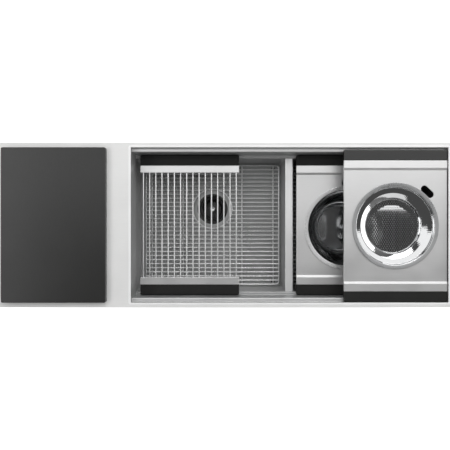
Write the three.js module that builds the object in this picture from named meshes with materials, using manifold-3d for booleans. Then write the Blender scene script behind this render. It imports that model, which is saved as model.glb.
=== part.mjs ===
// A workstation kitchen sink: a stainless deck with two bowls, two pairs of ledges, and the accessories that
// slide on them. Millimetres, +Z up, +X to the right, +Y to the back. The origin is the centre of the deck's
// underside, the plane that lies on the worktop.
import * as THREE from "three";
import { mergeVertices } from "three/addons/utils/BufferGeometryUtils.js";
import Module from "manifold-3d";

const wasm = await Module();
wasm.setup();

// ---- Driving dimensions ----------------------------------------------------------------------------------

// Clearances
const seam = 0.3; // between pieces that are welded, seated or threaded together
const slidePlay = 0.75; // between the front handle of the upper platform and the front wall

// Deck and bowls
const deckLength = 1416;
const deckWidth = 508;
const deckThickness = 3;
const rightRim = 19; // right of the opening
const deckRim = 14.5; // behind and in front of the opening
const mainBowlLength = 484.2;
const sideBowlLength = 468;
const dividerWidth = 27.8;
const sheet = 1.5;
const upperLedgeDepth = 22; // all depths are below the deck's top face
const upperLedgeWidth = 12.5;
const lowerLedgeDepth = 95;
const lowerLedgeWidth = 10;
const dividerDrop = 1; // divider below the lower ledges
const bowlDepth = 254;

// Drains
const drainSides = 24; // facets of every round drain piece, so that they nest
const drainBack = 57; // drain centre behind the bowl's middle
const floorHoleRadius = 45.5;
const flangeRadius = 57;
const flangeThickness = 1.3;
const cupTopRadius = 43;
const cupBottomRadius = 40;
const cupDepth = 40;
const cupWall = 1.8;
const outletRadius = 19;
const outletLength = 28;
const basketLipRadius = 41.6;
const basketDrop = 5; // basket's lip below the bowl floor
const basketWall = 1.5;
const basketTopRadius = 36.5;
const basketBottomRadius = 33;
const basketHoleRadius = 3.5;
const basketHoleCount = 6;
const knobRadius = 9;
const knobHeight = 4.5;
const postRadius = 4;
const postTail = 8;
const sealRadius = 28;
const sealThickness = 4;
const gasketWidth = 10.5;
const gasketThickness = 3;
const lockNutWidth = 9;
const lockNutThickness = 7;
const tailWall = 1.5;
const tailLength = 41;
const tailFlange = 2;
const couplingWall = 6;
const couplingHeight = 20;

// Sound pads
const padThickness = 3;
const padInset = 6;
const padClearance = 6; // round the gasket

// Mounting clips
const clipPitch = 390;
const clipWidth = 30;
const clipThickness = 2.5;
const clipHeight = 36;
const clipInset = 1; // tip inside the deck's edge
const clipLip = 2.5;
const worktopThickness = 40;
const studRadius = 3;
const nutRadius = 6.5;
const nutThickness = 5;

// Bottom grids
const wire = 5;
const wirePitch = 14;
const gridGap = 5.5; // grid to the bowl walls
const gridHeight = 20; // top of the grid above the bowl floor
const gridCorner = 14;
const gridRingRadius = 69;
const footRadius = 6.5;
const footSocket = 5;

// Accessories shared by both tiers
const accessoryWidth = 318.5;
const accessoryThickness = 19;
const handleDepth = 34;
const handleRound = 4;
const handleCorner = 8;
const barWidth = 23;
const barThickness = 12;
const tongueDepth = 10;
const tongueThickness = 3;
const tongueInset = 8;
const upperPlay = 3.5; // accessory to the wall, at each end
const lowerPlay = 1.25;
const rackFromEnd = 16.5; // rack to the left end wall
const lowerPlatformFromDivider = 8.25;
const upperPlatformFromEnd = 3.25;

// Rack
const rodCount = 16;
const rodPitch = 20;
const rodRadius = 2.2;
const rodDrop = 4.5; // rod axis below the bar's top

// Platforms
const plateThickness = 3;
const plateDrop = 2; // plate below the bars
const slopeWidth = 8;
const flangeDepth = 9;
const ringHoleRadius = 122;
const rimWidth = 14.5;
const rimThickness = 2.2;
const bowlClearance = 1; // bowl wall to the edge of the platform's hole
const slotLength = 46;
const slotWidth = 22;
const slotOffset = 22; // slot centre outside the hole's edge
const upperSlotAngle = 47; // degrees round the hole, from +X
const lowerSlotAngle = 86;
const upperHoleShift = 0; // hole centre behind the platform's middle
const lowerHoleShift = -9;

// Mixing bowl and colander
const vesselSides = 36; // facets of the bowls and of the holes that carry them
const bowlWall = 1.5;
const mixingDepth = 108;
const mixingFoot = 74;
const mixingFillet = 18;
const mixingBulge = 4; // of the wall, outside the straight line
const colanderDepth = 40;
const colanderFloorRadius = 87;
const colanderHoleRadius = 3.5;
const colanderHolePitch = 24;

// Cutting board
const boardInset = 17; // board to the deck's front and back edges
const boardThickness = 19;
const boardCorner = 5;
const boardEdge = 1.5;
const boardFromOpening = 73;

// ---- Places that follow from them ------------------------------------------------------------------------

const deckTop = deckThickness;
const openingRight = deckLength / 2 - rightRim;
const openingWidth = deckWidth - 2 * deckRim;
const boardLength = deckWidth - 2 * boardInset;
const sideBowlLeft = openingRight - sideBowlLength;
const mainBowlRight = sideBowlLeft - dividerWidth;
const openingLeft = mainBowlRight - mainBowlLength;
const openingCentre = (openingLeft + openingRight) / 2;
const wallTop = openingWidth / 2;
const wallMiddle = wallTop - upperLedgeWidth;
const wallBottom = wallMiddle - lowerLedgeWidth;
const upperLedge = deckTop - upperLedgeDepth;
const lowerLedge = deckTop - lowerLedgeDepth;
const floorTop = deckTop - bowlDepth;
const floorUnder = floorTop - sheet;
const mainCentre = (openingLeft + mainBowlRight) / 2;
const sideCentre = (sideBowlLeft + openingRight) / 2;
const upperLength = openingWidth - 2 * upperPlay;
const lowerLength = 2 * (wallMiddle - lowerPlay);
const rimRadius = ringHoleRadius - bowlClearance - bowlWall + rimWidth;

// ---- Finishes --------------------------------------------------------------------------------------------

function finish(color, metalness, roughness) {
  return new THREE.MeshStandardMaterial({ color, metalness, roughness });
}

const satinSteel = finish(0xd6d8d8, 1, 0.42);
const brushedSteel = finish(0xb4b6b6, 1, 0.34);
const polishedSteel = finish(0xcfd2d4, 1, 0.14);
const blackComposite = finish(0x2c2c2b, 0, 0.55);
const blackRubber = finish(0x1b1b1b, 0, 0.8);
const greyRubber = finish(0x6f7274, 0, 0.85);
const zincSteel = finish(0x9b9d98, 1, 0.45);
const whitePlastic = finish(0xdcdcd8, 0, 0.5);

// ---- Helpers ---------------------------------------------------------------------------------------------

const sink = new THREE.Group();

// A three.js geometry as a solid that can be joined and cut.
function solid(geometry) {
  const bare = geometry.clone();
  bare.deleteAttribute("normal");
  bare.deleteAttribute("uv");
  const merged = mergeVertices(bare, 1e-4);
  return new wasm.Manifold(
    new wasm.Mesh({
      numProp: 3,
      vertProperties: merged.attributes.position.array,
      triVerts: new Uint32Array(merged.index.array),
    }),
  );
}

// A solid back as a three.js geometry.
function skin(made) {
  const mesh = made.getMesh();
  const geometry = new THREE.BufferGeometry();
  geometry.setAttribute("position", new THREE.BufferAttribute(mesh.vertProperties, 3));
  geometry.setIndex(new THREE.BufferAttribute(mesh.triVerts, 1));
  geometry.computeVertexNormals();
  return geometry;
}

function add(parent, name, geometry, material) {
  const mesh = new THREE.Mesh(geometry, material);
  mesh.name = name;
  parent.add(mesh);
  return mesh;
}

function groupAt(x, y, z) {
  const group = new THREE.Group();
  group.position.set(x, y, z);
  sink.add(group);
  return group;
}

// A box between two corners.
function block(low, high) {
  const size = high.map((value, i) => value - low[i]);
  const middle = high.map((value, i) => (value + low[i]) / 2);
  return new THREE.BoxGeometry(...size).translate(...middle);
}

// An upright disc or post from z = low to z = high.
function disc(x, y, radius, low, high, sides) {
  const post = new THREE.CylinderGeometry(radius, radius, high - low, sides);
  return post.rotateX(Math.PI / 2).translate(x, y, (low + high) / 2);
}

// A profile of [radius, height] points turned about Z, listed counterclockwise.
function turned(profile, sides) {
  const points = profile.map(([radius, height]) => new THREE.Vector2(radius, height));
  return new THREE.LatheGeometry(points, sides).rotateX(Math.PI / 2);
}

// The same for a ring, whose profile closes on itself.
const turnedRing = (profile, sides) => turned([...profile, profile[0]], sides);

function outline(points) {
  return new THREE.Shape(points.map(([x, y]) => new THREE.Vector2(x, y)));
}

// A section of [y, z] points, listed counterclockwise, run along X from left to right.
function section(points, left, right) {
  const run = shapeRun(outline(points), right - left);
  return run.translate(left, 0, 0);
}

function shapeRun(shape, length) {
  const run = new THREE.ExtrudeGeometry(shape, { depth: length, bevelEnabled: false, curveSegments: 4 });
  const turn = new THREE.Matrix4().set(0, 0, 1, 0, 1, 0, 0, 0, 0, 1, 0, 0, 0, 0, 0, 1);
  return run.applyMatrix4(turn);
}

// A rectangle with round corners.
function roundedRectangle(left, right, front, back, corner) {
  const shape = new THREE.Shape();
  shape.absarc(right - corner, front + corner, corner, -Math.PI / 2, 0);
  shape.absarc(right - corner, back - corner, corner, 0, Math.PI / 2);
  shape.absarc(left + corner, back - corner, corner, Math.PI / 2, Math.PI);
  shape.absarc(left + corner, front + corner, corner, Math.PI, Math.PI * 1.5);
  return shape;
}

function rectangleHole(left, right, front, back) {
  const corners = [
    [left, front],
    [left, back],
    [right, back],
    [right, front],
  ];
  return new THREE.Path(corners.map(([x, y]) => new THREE.Vector2(x, y)));
}

// ---- Deck and bowls --------------------------------------------------------------------------------------

function deckPlate() {
  const halfWidth = deckWidth / 2;
  const shape = roundedRectangle(-deckLength / 2, deckLength / 2, -halfWidth, halfWidth, 2 * deckThickness);
  shape.holes.push(rectangleHole(openingLeft, openingRight, -wallTop, wallTop));
  return new THREE.ExtrudeGeometry(shape, { depth: deckThickness, bevelEnabled: false, curveSegments: 4 });
}

// The sheet folded twice into an upper and a lower ledge, seen at the back.
function foldedWall() {
  const points = [
    [wallTop, -seam],
    [wallTop, upperLedge],
    [wallMiddle, upperLedge],
    [wallMiddle, lowerLedge],
    [wallBottom, lowerLedge],
    [wallBottom, floorUnder],
    [wallBottom + sheet, floorUnder],
    [wallBottom + sheet, lowerLedge - sheet],
    [wallMiddle + sheet, lowerLedge - sheet],
    [wallMiddle + sheet, upperLedge - sheet],
    [wallTop + sheet, upperLedge - sheet],
    [wallTop + sheet, -seam],
  ];
  const half = (openingRight - openingLeft) / 2 - seam;
  return section(points, -half, half);
}

// The stepped plate that closes the folded walls at one end, from x = 0 to x = sheet.
function endWall() {
  const half = [
    [wallBottom + sheet, floorUnder],
    [wallBottom + sheet, lowerLedge - sheet],
    [wallMiddle + sheet, lowerLedge - sheet],
    [wallMiddle + sheet, upperLedge - sheet],
    [wallTop + sheet, upperLedge - sheet],
    [wallTop + sheet, -seam],
  ];
  const mirrored = half.map(([y, z]) => [-y, z]).reverse();
  return section([...half, ...mirrored], 0, sheet);
}

// The inverted channel between the bowls.
function divider() {
  const top = lowerLedge - dividerDrop;
  const shape = outline([
    [sideBowlLeft, floorUnder],
    [sideBowlLeft, top],
    [mainBowlRight, top],
    [mainBowlRight, floorUnder],
    [mainBowlRight + sheet, floorUnder],
    [mainBowlRight + sheet, top - sheet],
    [sideBowlLeft - sheet, top - sheet],
    [sideBowlLeft - sheet, floorUnder],
  ]);
  const depth = 2 * (wallBottom - seam);
  const channel = new THREE.ExtrudeGeometry(shape, { depth, bevelEnabled: false });
  return channel.rotateX(Math.PI / 2).translate(0, depth / 2, 0);
}

// A flat sheet with a round hole at the drain.
function drilledSheet(left, right, halfWidth, low, thickness, holeX, holeRadius) {
  const shape = outline([
    [left, -halfWidth],
    [right, -halfWidth],
    [right, halfWidth],
    [left, halfWidth],
  ]);
  shape.holes.push(new THREE.Path().absarc(holeX, drainBack, holeRadius, 0, Math.PI * 2, true));
  const depth = thickness;
  const curveSegments = drainSides / 2;
  const flat = new THREE.ExtrudeGeometry(shape, { depth, bevelEnabled: false, curveSegments });
  return flat.translate(0, 0, low);
}

function bowlFloor(left, right, centre) {
  const halfWidth = wallBottom - seam;
  return drilledSheet(left + seam, right - seam, halfWidth, floorUnder, sheet, centre, floorHoleRadius);
}

function soundPad(left, right, centre) {
  const halfWidth = wallBottom - padInset;
  const low = floorUnder - seam - padThickness;
  const holeRadius = floorHoleRadius + gasketWidth + padClearance;
  return drilledSheet(left + padInset, right - padInset, halfWidth, low, padThickness, centre, holeRadius);
}

add(sink, "deck_plate", deckPlate(), satinSteel);
const backWall = add(sink, "back_wall", foldedWall(), brushedSteel);
backWall.position.x = openingCentre;
const frontWall = add(sink, "front_wall", foldedWall(), brushedSteel);
frontWall.position.x = openingCentre;
frontWall.rotation.z = Math.PI;
const leftEndWall = add(sink, "left_end_wall", endWall(), brushedSteel);
leftEndWall.position.x = openingLeft - sheet;
const rightEndWall = add(sink, "right_end_wall", endWall(), brushedSteel);
rightEndWall.position.x = openingRight;
add(sink, "bowl_divider", divider(), brushedSteel);
add(sink, "main_bowl_floor", bowlFloor(openingLeft, mainBowlRight, mainCentre), brushedSteel);
add(sink, "side_bowl_floor", bowlFloor(sideBowlLeft, openingRight, sideCentre), brushedSteel);
add(sink, "main_sound_pad", soundPad(openingLeft, mainBowlRight, mainCentre), greyRubber);
add(sink, "side_sound_pad", soundPad(sideBowlLeft, openingRight, sideCentre), greyRubber);

// ---- Mounting clips --------------------------------------------------------------------------------------

const clipOuterFace = wallMiddle + sheet + seam;

// An angle bracket for the back side, centred on x = 0, with a slot for its stud and a lip under the worktop.
function clip() {
  const top = deckTop - deckThickness - worktopThickness;
  const armTop = top - clipLip;
  const tip = deckWidth / 2 - clipInset;
  const points = [
    [clipOuterFace, armTop - clipHeight],
    [clipOuterFace + clipThickness, armTop - clipHeight],
    [clipOuterFace + clipThickness, armTop - clipThickness],
    [tip, armTop - clipThickness],
    [tip, top],
    [tip - clipThickness, top],
    [tip - clipThickness, armTop],
    [clipOuterFace, armTop],
  ];
  const angle = solid(section(points, -clipWidth / 2, clipWidth / 2));
  const slotHalf = studRadius + seam;
  const middle = armTop - clipHeight / 2;
  const slotReach = clipHeight / 4;
  const slot = block(
    [-slotHalf, clipOuterFace - 1, middle - slotReach],
    [slotHalf, clipOuterFace + clipThickness + 1, middle + slotReach],
  );
  return skin(angle.subtract(solid(slot)));
}

// The stud welded to the wall and its hexagon nut, along Y.
function studAndNut() {
  const middle = -worktopThickness - clipLip - clipHeight / 2;
  const nutStart = clipOuterFace + clipThickness + seam;
  const length = clipThickness + seam + nutThickness + 2;
  const stud = new THREE.CylinderGeometry(studRadius, studRadius, length, 10);
  const nut = new THREE.CylinderGeometry(nutRadius, nutRadius, nutThickness, 6);
  stud.translate(0, clipOuterFace + length / 2, middle);
  nut.translate(0, nutStart + nutThickness / 2, middle);
  return skin(solid(stud).add(solid(nut)));
}

for (let i = 0; i < 6; i += 1) {
  const atBack = i < 3;
  const side = groupAt(openingCentre + ((i % 3) - 1) * clipPitch, 0, 0);
  side.rotation.z = atBack ? 0 : Math.PI;
  add(side, `mounting_clip_${i + 1}`, clip(), zincSteel);
  add(side, `clip_stud_nut_${i + 1}`, studAndNut(), zincSteel);
}

// ---- Drains ----------------------------------------------------------------------------------------------

// Heights in a drain's own frame, whose z = 0 is the bowl floor.
const cupFloor = -cupDepth;
const cupUnder = cupFloor - cupWall;
const outletEnd = cupUnder - outletLength;
const cupOuterTop = floorHoleRadius - seam - 0.2;
const sealUnder = cupFloor + seam;
const basketUnder = sealUnder + sealThickness + seam;
const gasketTop = -sheet - seam;
const lockNutTop = gasketTop - gasketThickness - seam;
const tailTop = outletEnd - seam;
const outletOuter = outletRadius + cupWall + 1;

function strainerBody() {
  const flangeTop = seam + flangeThickness;
  return turnedRing(
    [
      [outletRadius, outletEnd],
      [outletOuter, outletEnd],
      [outletOuter, cupUnder],
      [cupBottomRadius + cupWall, cupUnder],
      [cupOuterTop, -cupDepth * 0.6],
      [cupOuterTop, seam],
      [flangeRadius, seam],
      [flangeRadius, seam + flangeThickness * 0.4],
      [cupTopRadius + 3, flangeTop],
      [cupTopRadius, flangeTop - 1],
      [cupBottomRadius, cupFloor],
      [outletRadius, cupFloor],
    ],
    drainSides,
  );
}

function strainerBasket() {
  const lipTop = -basketDrop;
  const floor = basketUnder + basketWall;
  const knobTop = knobHeight;
  const basket = turned(
    [
      [0, sealUnder - postTail],
      [postRadius, sealUnder - postTail],
      [postRadius, basketUnder],
      [basketBottomRadius, basketUnder],
      [basketTopRadius, lipTop - basketWall],
      [basketLipRadius, lipTop - basketWall],
      [basketLipRadius, lipTop],
      [basketTopRadius - basketWall, lipTop],
      [basketBottomRadius - basketWall, floor],
      [postRadius, floor],
      [postRadius, 0],
      [knobRadius, 1],
      [knobRadius, knobTop - 1.5],
      [knobRadius - 2.5, knobTop],
      [0, knobTop],
    ],
    drainSides,
  );
  const holeCircle = (postRadius + basketBottomRadius) / 2;
  let cut = solid(basket);
  for (let i = 0; i < basketHoleCount; i += 1) {
    const angle = (i / basketHoleCount) * Math.PI * 2;
    const x = holeCircle * Math.cos(angle);
    const y = holeCircle * Math.sin(angle);
    cut = cut.subtract(solid(disc(x, y, basketHoleRadius, basketUnder - 1, floor + 1, 6)));
  }
  return skin(cut);
}

// A plain ring between two radii and two heights.
function ring(inner, outer, low, high) {
  return turnedRing(
    [
      [inner, low],
      [outer, low],
      [outer, high],
      [inner, high],
    ],
    drainSides,
  );
}

function couplingNut() {
  const inner = outletOuter + seam;
  const lip = outletRadius + seam;
  const lipTop = tailTop - tailFlange - seam;
  const low = lipTop - tailWall * 2;
  return turnedRing(
    [
      [lip, low],
      [inner + couplingWall, low],
      [inner + couplingWall, low + couplingHeight],
      [inner, low + couplingHeight],
      [inner, lipTop],
      [lip, lipTop],
    ],
    drainSides,
  );
}

function tailpiece() {
  const outer = outletRadius;
  const inner = outletRadius - tailWall;
  return turnedRing(
    [
      [inner, tailTop - tailLength],
      [outer, tailTop - tailLength],
      [outer, tailTop - tailFlange],
      [outletOuter, tailTop - tailFlange],
      [outletOuter, tailTop],
      [inner, tailTop],
    ],
    drainSides,
  );
}

function drain(prefix, x) {
  const place = groupAt(x, drainBack, floorTop);
  const threadRadius = cupOuterTop + seam;
  add(place, `${prefix}_strainer_body`, strainerBody(), polishedSteel);
  add(place, `${prefix}_strainer_basket`, strainerBasket(), polishedSteel);
  const seal = ring(postRadius + seam, sealRadius, sealUnder, sealUnder + sealThickness);
  add(place, `${prefix}_basket_seal`, seal, blackRubber);
  const gasket = ring(threadRadius, threadRadius + gasketWidth, gasketTop - gasketThickness, gasketTop);
  add(place, `${prefix}_drain_gasket`, gasket, blackRubber);
  const nut = ring(threadRadius, threadRadius + lockNutWidth, lockNutTop - lockNutThickness, lockNutTop);
  add(place, `${prefix}_lock_nut`, nut, zincSteel);
  add(place, `${prefix}_coupling_nut`, couplingNut(), whitePlastic);
  add(place, `${prefix}_tailpiece`, tailpiece(), polishedSteel);
}

drain("main", mainCentre);
drain("side", sideCentre);

// ---- Bottom grids ----------------------------------------------------------------------------------------

// Wires along X inside a border wire, on top of runners along Y, with a ring round the drain. The runners
// are welded to the border wire at their ends. The frame is the bowl's centre, and z = 0 is the bowl floor.
function gridWires(length, runnerOffsets) {
  const top = gridHeight;
  const low = top - wire;
  const runnerTop = low - seam;
  const runnerLow = runnerTop - wire;
  const halfLength = length / 2 - gridGap;
  const halfWidth = wallBottom - gridGap;
  const shape = roundedRectangle(-halfLength, halfLength, -halfWidth, halfWidth, gridCorner);
  const count = Math.floor((2 * halfWidth - wire) / wirePitch);
  const step = (2 * halfWidth - wire) / count;
  for (let i = 0; i < count; i += 1) {
    const front = -halfWidth + wire + i * step;
    const cornered = i === 0 || i === count - 1;
    const inset = wire + (cornered ? gridCorner / 3 : 0);
    shape.holes.push(rectangleHole(-halfLength + inset, halfLength - inset, front, front + step - wire));
  }
  const flat = new THREE.ExtrudeGeometry(shape, { depth: wire, bevelEnabled: false, curveSegments: 4 });
  let made = solid(flat.translate(0, 0, low));
  made = made.subtract(solid(disc(0, drainBack, gridRingRadius, low - 1, top + 1, drainSides)));
  const half = wire / 2;
  const drainRing = ring(gridRingRadius - half, gridRingRadius + half, low, top);
  made = made.add(solid(drainRing.translate(0, drainBack, 0)));
  for (const x of runnerOffsets) {
    made = made.add(solid(block([x - half, -halfWidth, runnerLow], [x + half, halfWidth, runnerTop])));
    for (const end of [-halfWidth, halfWidth - wire]) {
      made = made.add(solid(block([x - half, end, runnerLow], [x + half, end + wire, low + half])));
    }
  }
  const legs = footPlaces(length, runnerOffsets);
  for (const [x, y] of legs) {
    made = made.add(solid(disc(x, y, half, footSocket, runnerTop - half, 8)));
  }
  return skin(made);
}

// The legs stand under the outer runners, near the corners.
function footPlaces(length, runnerOffsets) {
  const reach = wallBottom - gridGap - gridCorner;
  const left = runnerOffsets[0];
  const right = runnerOffsets[runnerOffsets.length - 1];
  return [
    [left, reach],
    [right, reach],
    [left, -reach],
    [right, -reach],
  ];
}

// A rubber cap on a leg.
function gridFoot() {
  const low = seam;
  const top = gridHeight - 2 * wire - 2 * seam;
  const socket = wire / 2 + seam;
  return turned(
    [
      [0, low],
      [footRadius - 1, low],
      [footRadius, low + 1],
      [footRadius, top],
      [socket, top],
      [socket, footSocket - seam],
      [0, footSocket - seam],
    ],
    12,
  );
}

function bottomGrid(prefix, centre, length, runnerOffsets) {
  const place = groupAt(centre, 0, floorTop);
  add(place, `${prefix}_grid_wires`, gridWires(length, runnerOffsets), brushedSteel);
  footPlaces(length, runnerOffsets).forEach(([x, y], i) => {
    const foot = add(place, `${prefix}_grid_foot_${i + 1}`, gridFoot(), blackRubber);
    foot.position.set(x, y, 0);
  });
}

const outerRunner = 28; // outer runner to the bowl's end
const innerRunner = 104; // inner runner to the bowl's centre
const mainRunner = mainBowlLength / 2 - outerRunner;
const sideRunner = sideBowlLength / 2 - outerRunner;
bottomGrid("main", mainCentre, mainBowlLength, [-mainRunner, -innerRunner, innerRunner, mainRunner]);
bottomGrid("side", sideCentre, sideBowlLength, [-sideRunner, sideRunner]);

// ---- Accessory parts -------------------------------------------------------------------------------------

// An accessory's frame is its middle, and z = 0 is its underside, just over the ledge.
const tongueMiddle = accessoryThickness - barThickness / 2;

// The back handle, with a groove for the steel bar's tongue. Its outer end is at y = length / 2.
function handle(length) {
  const outer = length / 2;
  const inner = outer - handleDepth + seam;
  const groove = tongueThickness / 2 + seam;
  const grooveEnd = inner + tongueDepth + seam;
  const shape = new THREE.Shape();
  shape.moveTo(inner, 0);
  shape.absarc(outer - handleRound, handleRound, handleRound, -Math.PI / 2, 0);
  shape.absarc(outer - handleRound, accessoryThickness - handleRound, handleRound, 0, Math.PI / 2);
  shape.lineTo(inner, accessoryThickness);
  shape.lineTo(inner, tongueMiddle + groove);
  shape.lineTo(grooveEnd, tongueMiddle + groove);
  shape.lineTo(grooveEnd, tongueMiddle - groove);
  shape.lineTo(inner, tongueMiddle - groove);
  const run = solid(shapeRun(shape, accessoryWidth).translate(-accessoryWidth / 2, 0, 0));
  const half = accessoryWidth / 2;
  const plan = roundedRectangle(-half, half, inner - handleDepth, outer, handleCorner);
  const depth = accessoryThickness + 2;
  const cutter = new THREE.ExtrudeGeometry(plan, { depth, bevelEnabled: false, curveSegments: 4 });
  return skin(run.intersect(solid(cutter.translate(0, 0, -1))));
}

function handlePair(place, prefix, length) {
  add(place, `${prefix}_back_handle`, handle(length), blackComposite);
  const front = add(place, `${prefix}_front_handle`, handle(length), blackComposite);
  front.rotation.z = Math.PI;
}

// A flat tongue at the back, reaching from the bar into the handle's groove.
function tongue(length, side) {
  const half = accessoryWidth / 2 - tongueInset;
  const start = length / 2 - handleDepth - barWidth / 2;
  const end = length / 2 - handleDepth + tongueDepth;
  const low = tongueMiddle - tongueThickness / 2;
  const high = tongueMiddle + tongueThickness / 2;
  if (side > 0) {
    return block([-half, start, low], [half, end, high]);
  }
  return block([-half, -end, low], [half, -start, high]);
}

// ---- Drain rack ------------------------------------------------------------------------------------------

function rackFrame(length) {
  const half = accessoryWidth / 2;
  const outer = length / 2 - handleDepth;
  const inner = outer - barWidth;
  const low = accessoryThickness - barThickness;
  const bars = [
    block([-half, inner, low], [half, outer, accessoryThickness]),
    block([-half, -outer, low], [half, -inner, accessoryThickness]),
  ];
  let made = solid(bars[0]).add(solid(bars[1]));
  made = made.add(solid(tongue(length, 1))).add(solid(tongue(length, -1)));
  const rodLength = 2 * inner + barWidth / 2;
  for (let i = 0; i < rodCount; i += 1) {
    const rod = new THREE.CylinderGeometry(rodRadius, rodRadius, rodLength, 8);
    rod.translate((i - (rodCount - 1) / 2) * rodPitch, 0, accessoryThickness - rodDrop);
    made = made.add(solid(rod));
  }
  return skin(made);
}

const rackPlace = groupAt(openingLeft + rackFromEnd + accessoryWidth / 2, 0, lowerLedge + seam);
add(rackPlace, "rack_frame", rackFrame(lowerLength), brushedSteel);
handlePair(rackPlace, "rack", lowerLength);

// ---- Platforms -------------------------------------------------------------------------------------------

// A slot with round ends that lies along the hole's edge, partly under the bowl's rim.
function fingerSlot(angleDegrees) {
  const straight = (slotLength - slotWidth) / 2;
  const shape = new THREE.Shape();
  shape.absarc(straight, 0, slotWidth / 2, -Math.PI / 2, Math.PI / 2);
  shape.absarc(-straight, 0, slotWidth / 2, Math.PI / 2, Math.PI * 1.5);
  const depth = accessoryThickness + 2;
  const slot = new THREE.ExtrudeGeometry(shape, { depth, bevelEnabled: false, curveSegments: 8 });
  slot.translate(0, ringHoleRadius + slotOffset, -1);
  return slot.rotateZ(THREE.MathUtils.degToRad(angleDegrees - 90));
}

// A steel plate between two raised bars, turned down at its sides, with a round hole for a bowl.
function platformPlate(length, holeShift, slotAngle) {
  const top = accessoryThickness;
  const plateTop = top - plateDrop;
  const outer = length / 2 - handleDepth;
  const inner = outer - barWidth;
  const slopeEnd = inner - slopeWidth;
  const tongueHalf = tongueThickness / 2;
  const half = [
    [slopeEnd, plateTop - plateThickness],
    [inner, plateTop - plateThickness],
    [inner, top - barThickness],
    [outer, top - barThickness],
    [outer, tongueMiddle - tongueHalf],
    [outer, tongueMiddle + tongueHalf],
    [outer, top],
    [inner, top],
    [slopeEnd, plateTop],
  ];
  const mirrored = half.map(([y, z]) => [-y, z]).reverse();
  const halfWidth = accessoryWidth / 2;
  let made = solid(section([...half, ...mirrored], -halfWidth, halfWidth));
  for (const side of [-1, 1]) {
    const edge = side * halfWidth;
    const low = [Math.min(edge, edge - side * plateThickness), -inner, plateTop - flangeDepth];
    const high = [Math.max(edge, edge - side * plateThickness), inner, plateTop];
    made = made.add(solid(block(low, high))).add(solid(tongue(length, side)));
  }
  made = made.subtract(solid(disc(0, holeShift, ringHoleRadius, -1, top + 1, vesselSides)));
  return skin(made.subtract(solid(fingerSlot(slotAngle).translate(0, holeShift, 0))));
}

function platform(prefix, place, length, holeShift, slotAngle) {
  add(place, `${prefix}_platform_plate`, platformPlate(length, holeShift, slotAngle), brushedSteel);
  handlePair(place, `${prefix}_platform`, length);
}

const lowerPlatformX = sideBowlLeft + lowerPlatformFromDivider + accessoryWidth / 2;
const upperPlatformX = openingRight - upperPlatformFromEnd - accessoryWidth / 2;
const lowerPlace = groupAt(lowerPlatformX, 0, lowerLedge + seam);
const upperPlace = groupAt(upperPlatformX, slidePlay - upperPlay, upperLedge + seam);
platform("lower", lowerPlace, lowerLength, lowerHoleShift, lowerSlotAngle);
platform("upper", upperPlace, upperLength, upperHoleShift, upperSlotAngle);

// ---- Mixing bowl and colander ----------------------------------------------------------------------------

// A thin turned vessel: a flat rim that lies on the platform, over z = 0, and a wall that follows the curve.
function vessel(curve, sides) {
  const rimLow = seam;
  const rimTop = seam + rimThickness;
  const outside = curve.map(([radius, height]) => [radius, height]);
  const inside = outside.map(([radius, height], i) => [
    Math.max(radius - bowlWall, 0),
    i === 0 || radius === 0 ? height + bowlWall : height + bowlWall * 0.6,
  ]);
  const neck = outside[outside.length - 1][0];
  return turned(
    [
      ...outside,
      [neck, rimLow],
      [rimRadius, rimLow],
      [rimRadius, rimTop],
      [neck - bowlWall, rimTop],
      ...inside.reverse(),
    ],
    sides,
  );
}

const neckRadius = ringHoleRadius - bowlClearance;
const ringTop = accessoryThickness - plateDrop;

// A deep bowl: a flat foot, a round fillet and a bulging wall up to the neck.
function mixingBowl() {
  const curve = [[0, -mixingDepth]];
  const arcSteps = 4;
  const arcEnd = THREE.MathUtils.degToRad(70);
  for (let i = 0; i <= arcSteps; i += 1) {
    const turn = (i / arcSteps) * arcEnd;
    const radius = mixingFoot + mixingFillet * Math.sin(turn);
    curve.push([radius, -mixingDepth + mixingFillet * (1 - Math.cos(turn))]);
  }
  const [start, low] = curve[curve.length - 1];
  const high = -4;
  curve.push([(start + neckRadius) / 2 + mixingBulge, (low + high) / 2]);
  curve.push([neckRadius, high]);
  return vessel(curve, vesselSides);
}

// A shallow dish with a flat, drilled floor.
function colander() {
  const middle = (colanderFloorRadius + neckRadius) / 2;
  const curve = [
    [0, -colanderDepth],
    [colanderFloorRadius, -colanderDepth],
    [colanderFloorRadius + 5, -colanderDepth + 3],
    [middle + 4, -colanderDepth * 0.5],
    [neckRadius, -4],
  ];
  let made = solid(vessel(curve, vesselSides));
  const reach = colanderFloorRadius - colanderHolePitch / 2;
  const rowStep = colanderHolePitch * Math.sin(Math.PI / 3);
  const rows = Math.floor(reach / rowStep);
  for (let row = -rows; row <= rows; row += 1) {
    const shift = (Math.abs(row) % 2) * (colanderHolePitch / 2);
    for (let column = -rows; column <= rows; column += 1) {
      const x = column * colanderHolePitch + shift;
      const y = row * rowStep;
      if (Math.hypot(x, y) < reach) {
        const low = -colanderDepth - 1;
        made = made.subtract(solid(disc(x, y, colanderHoleRadius, low, low + bowlWall + 2, 6)));
      }
    }
  }
  return skin(made);
}

const mixing = add(lowerPlace, "mixing_bowl", mixingBowl(), polishedSteel);
mixing.position.set(0, lowerHoleShift, ringTop);
const strainerDish = add(upperPlace, "colander", colander(), polishedSteel);
strainerDish.position.set(0, upperHoleShift, ringTop);

// ---- Cutting board ---------------------------------------------------------------------------------------

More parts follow.
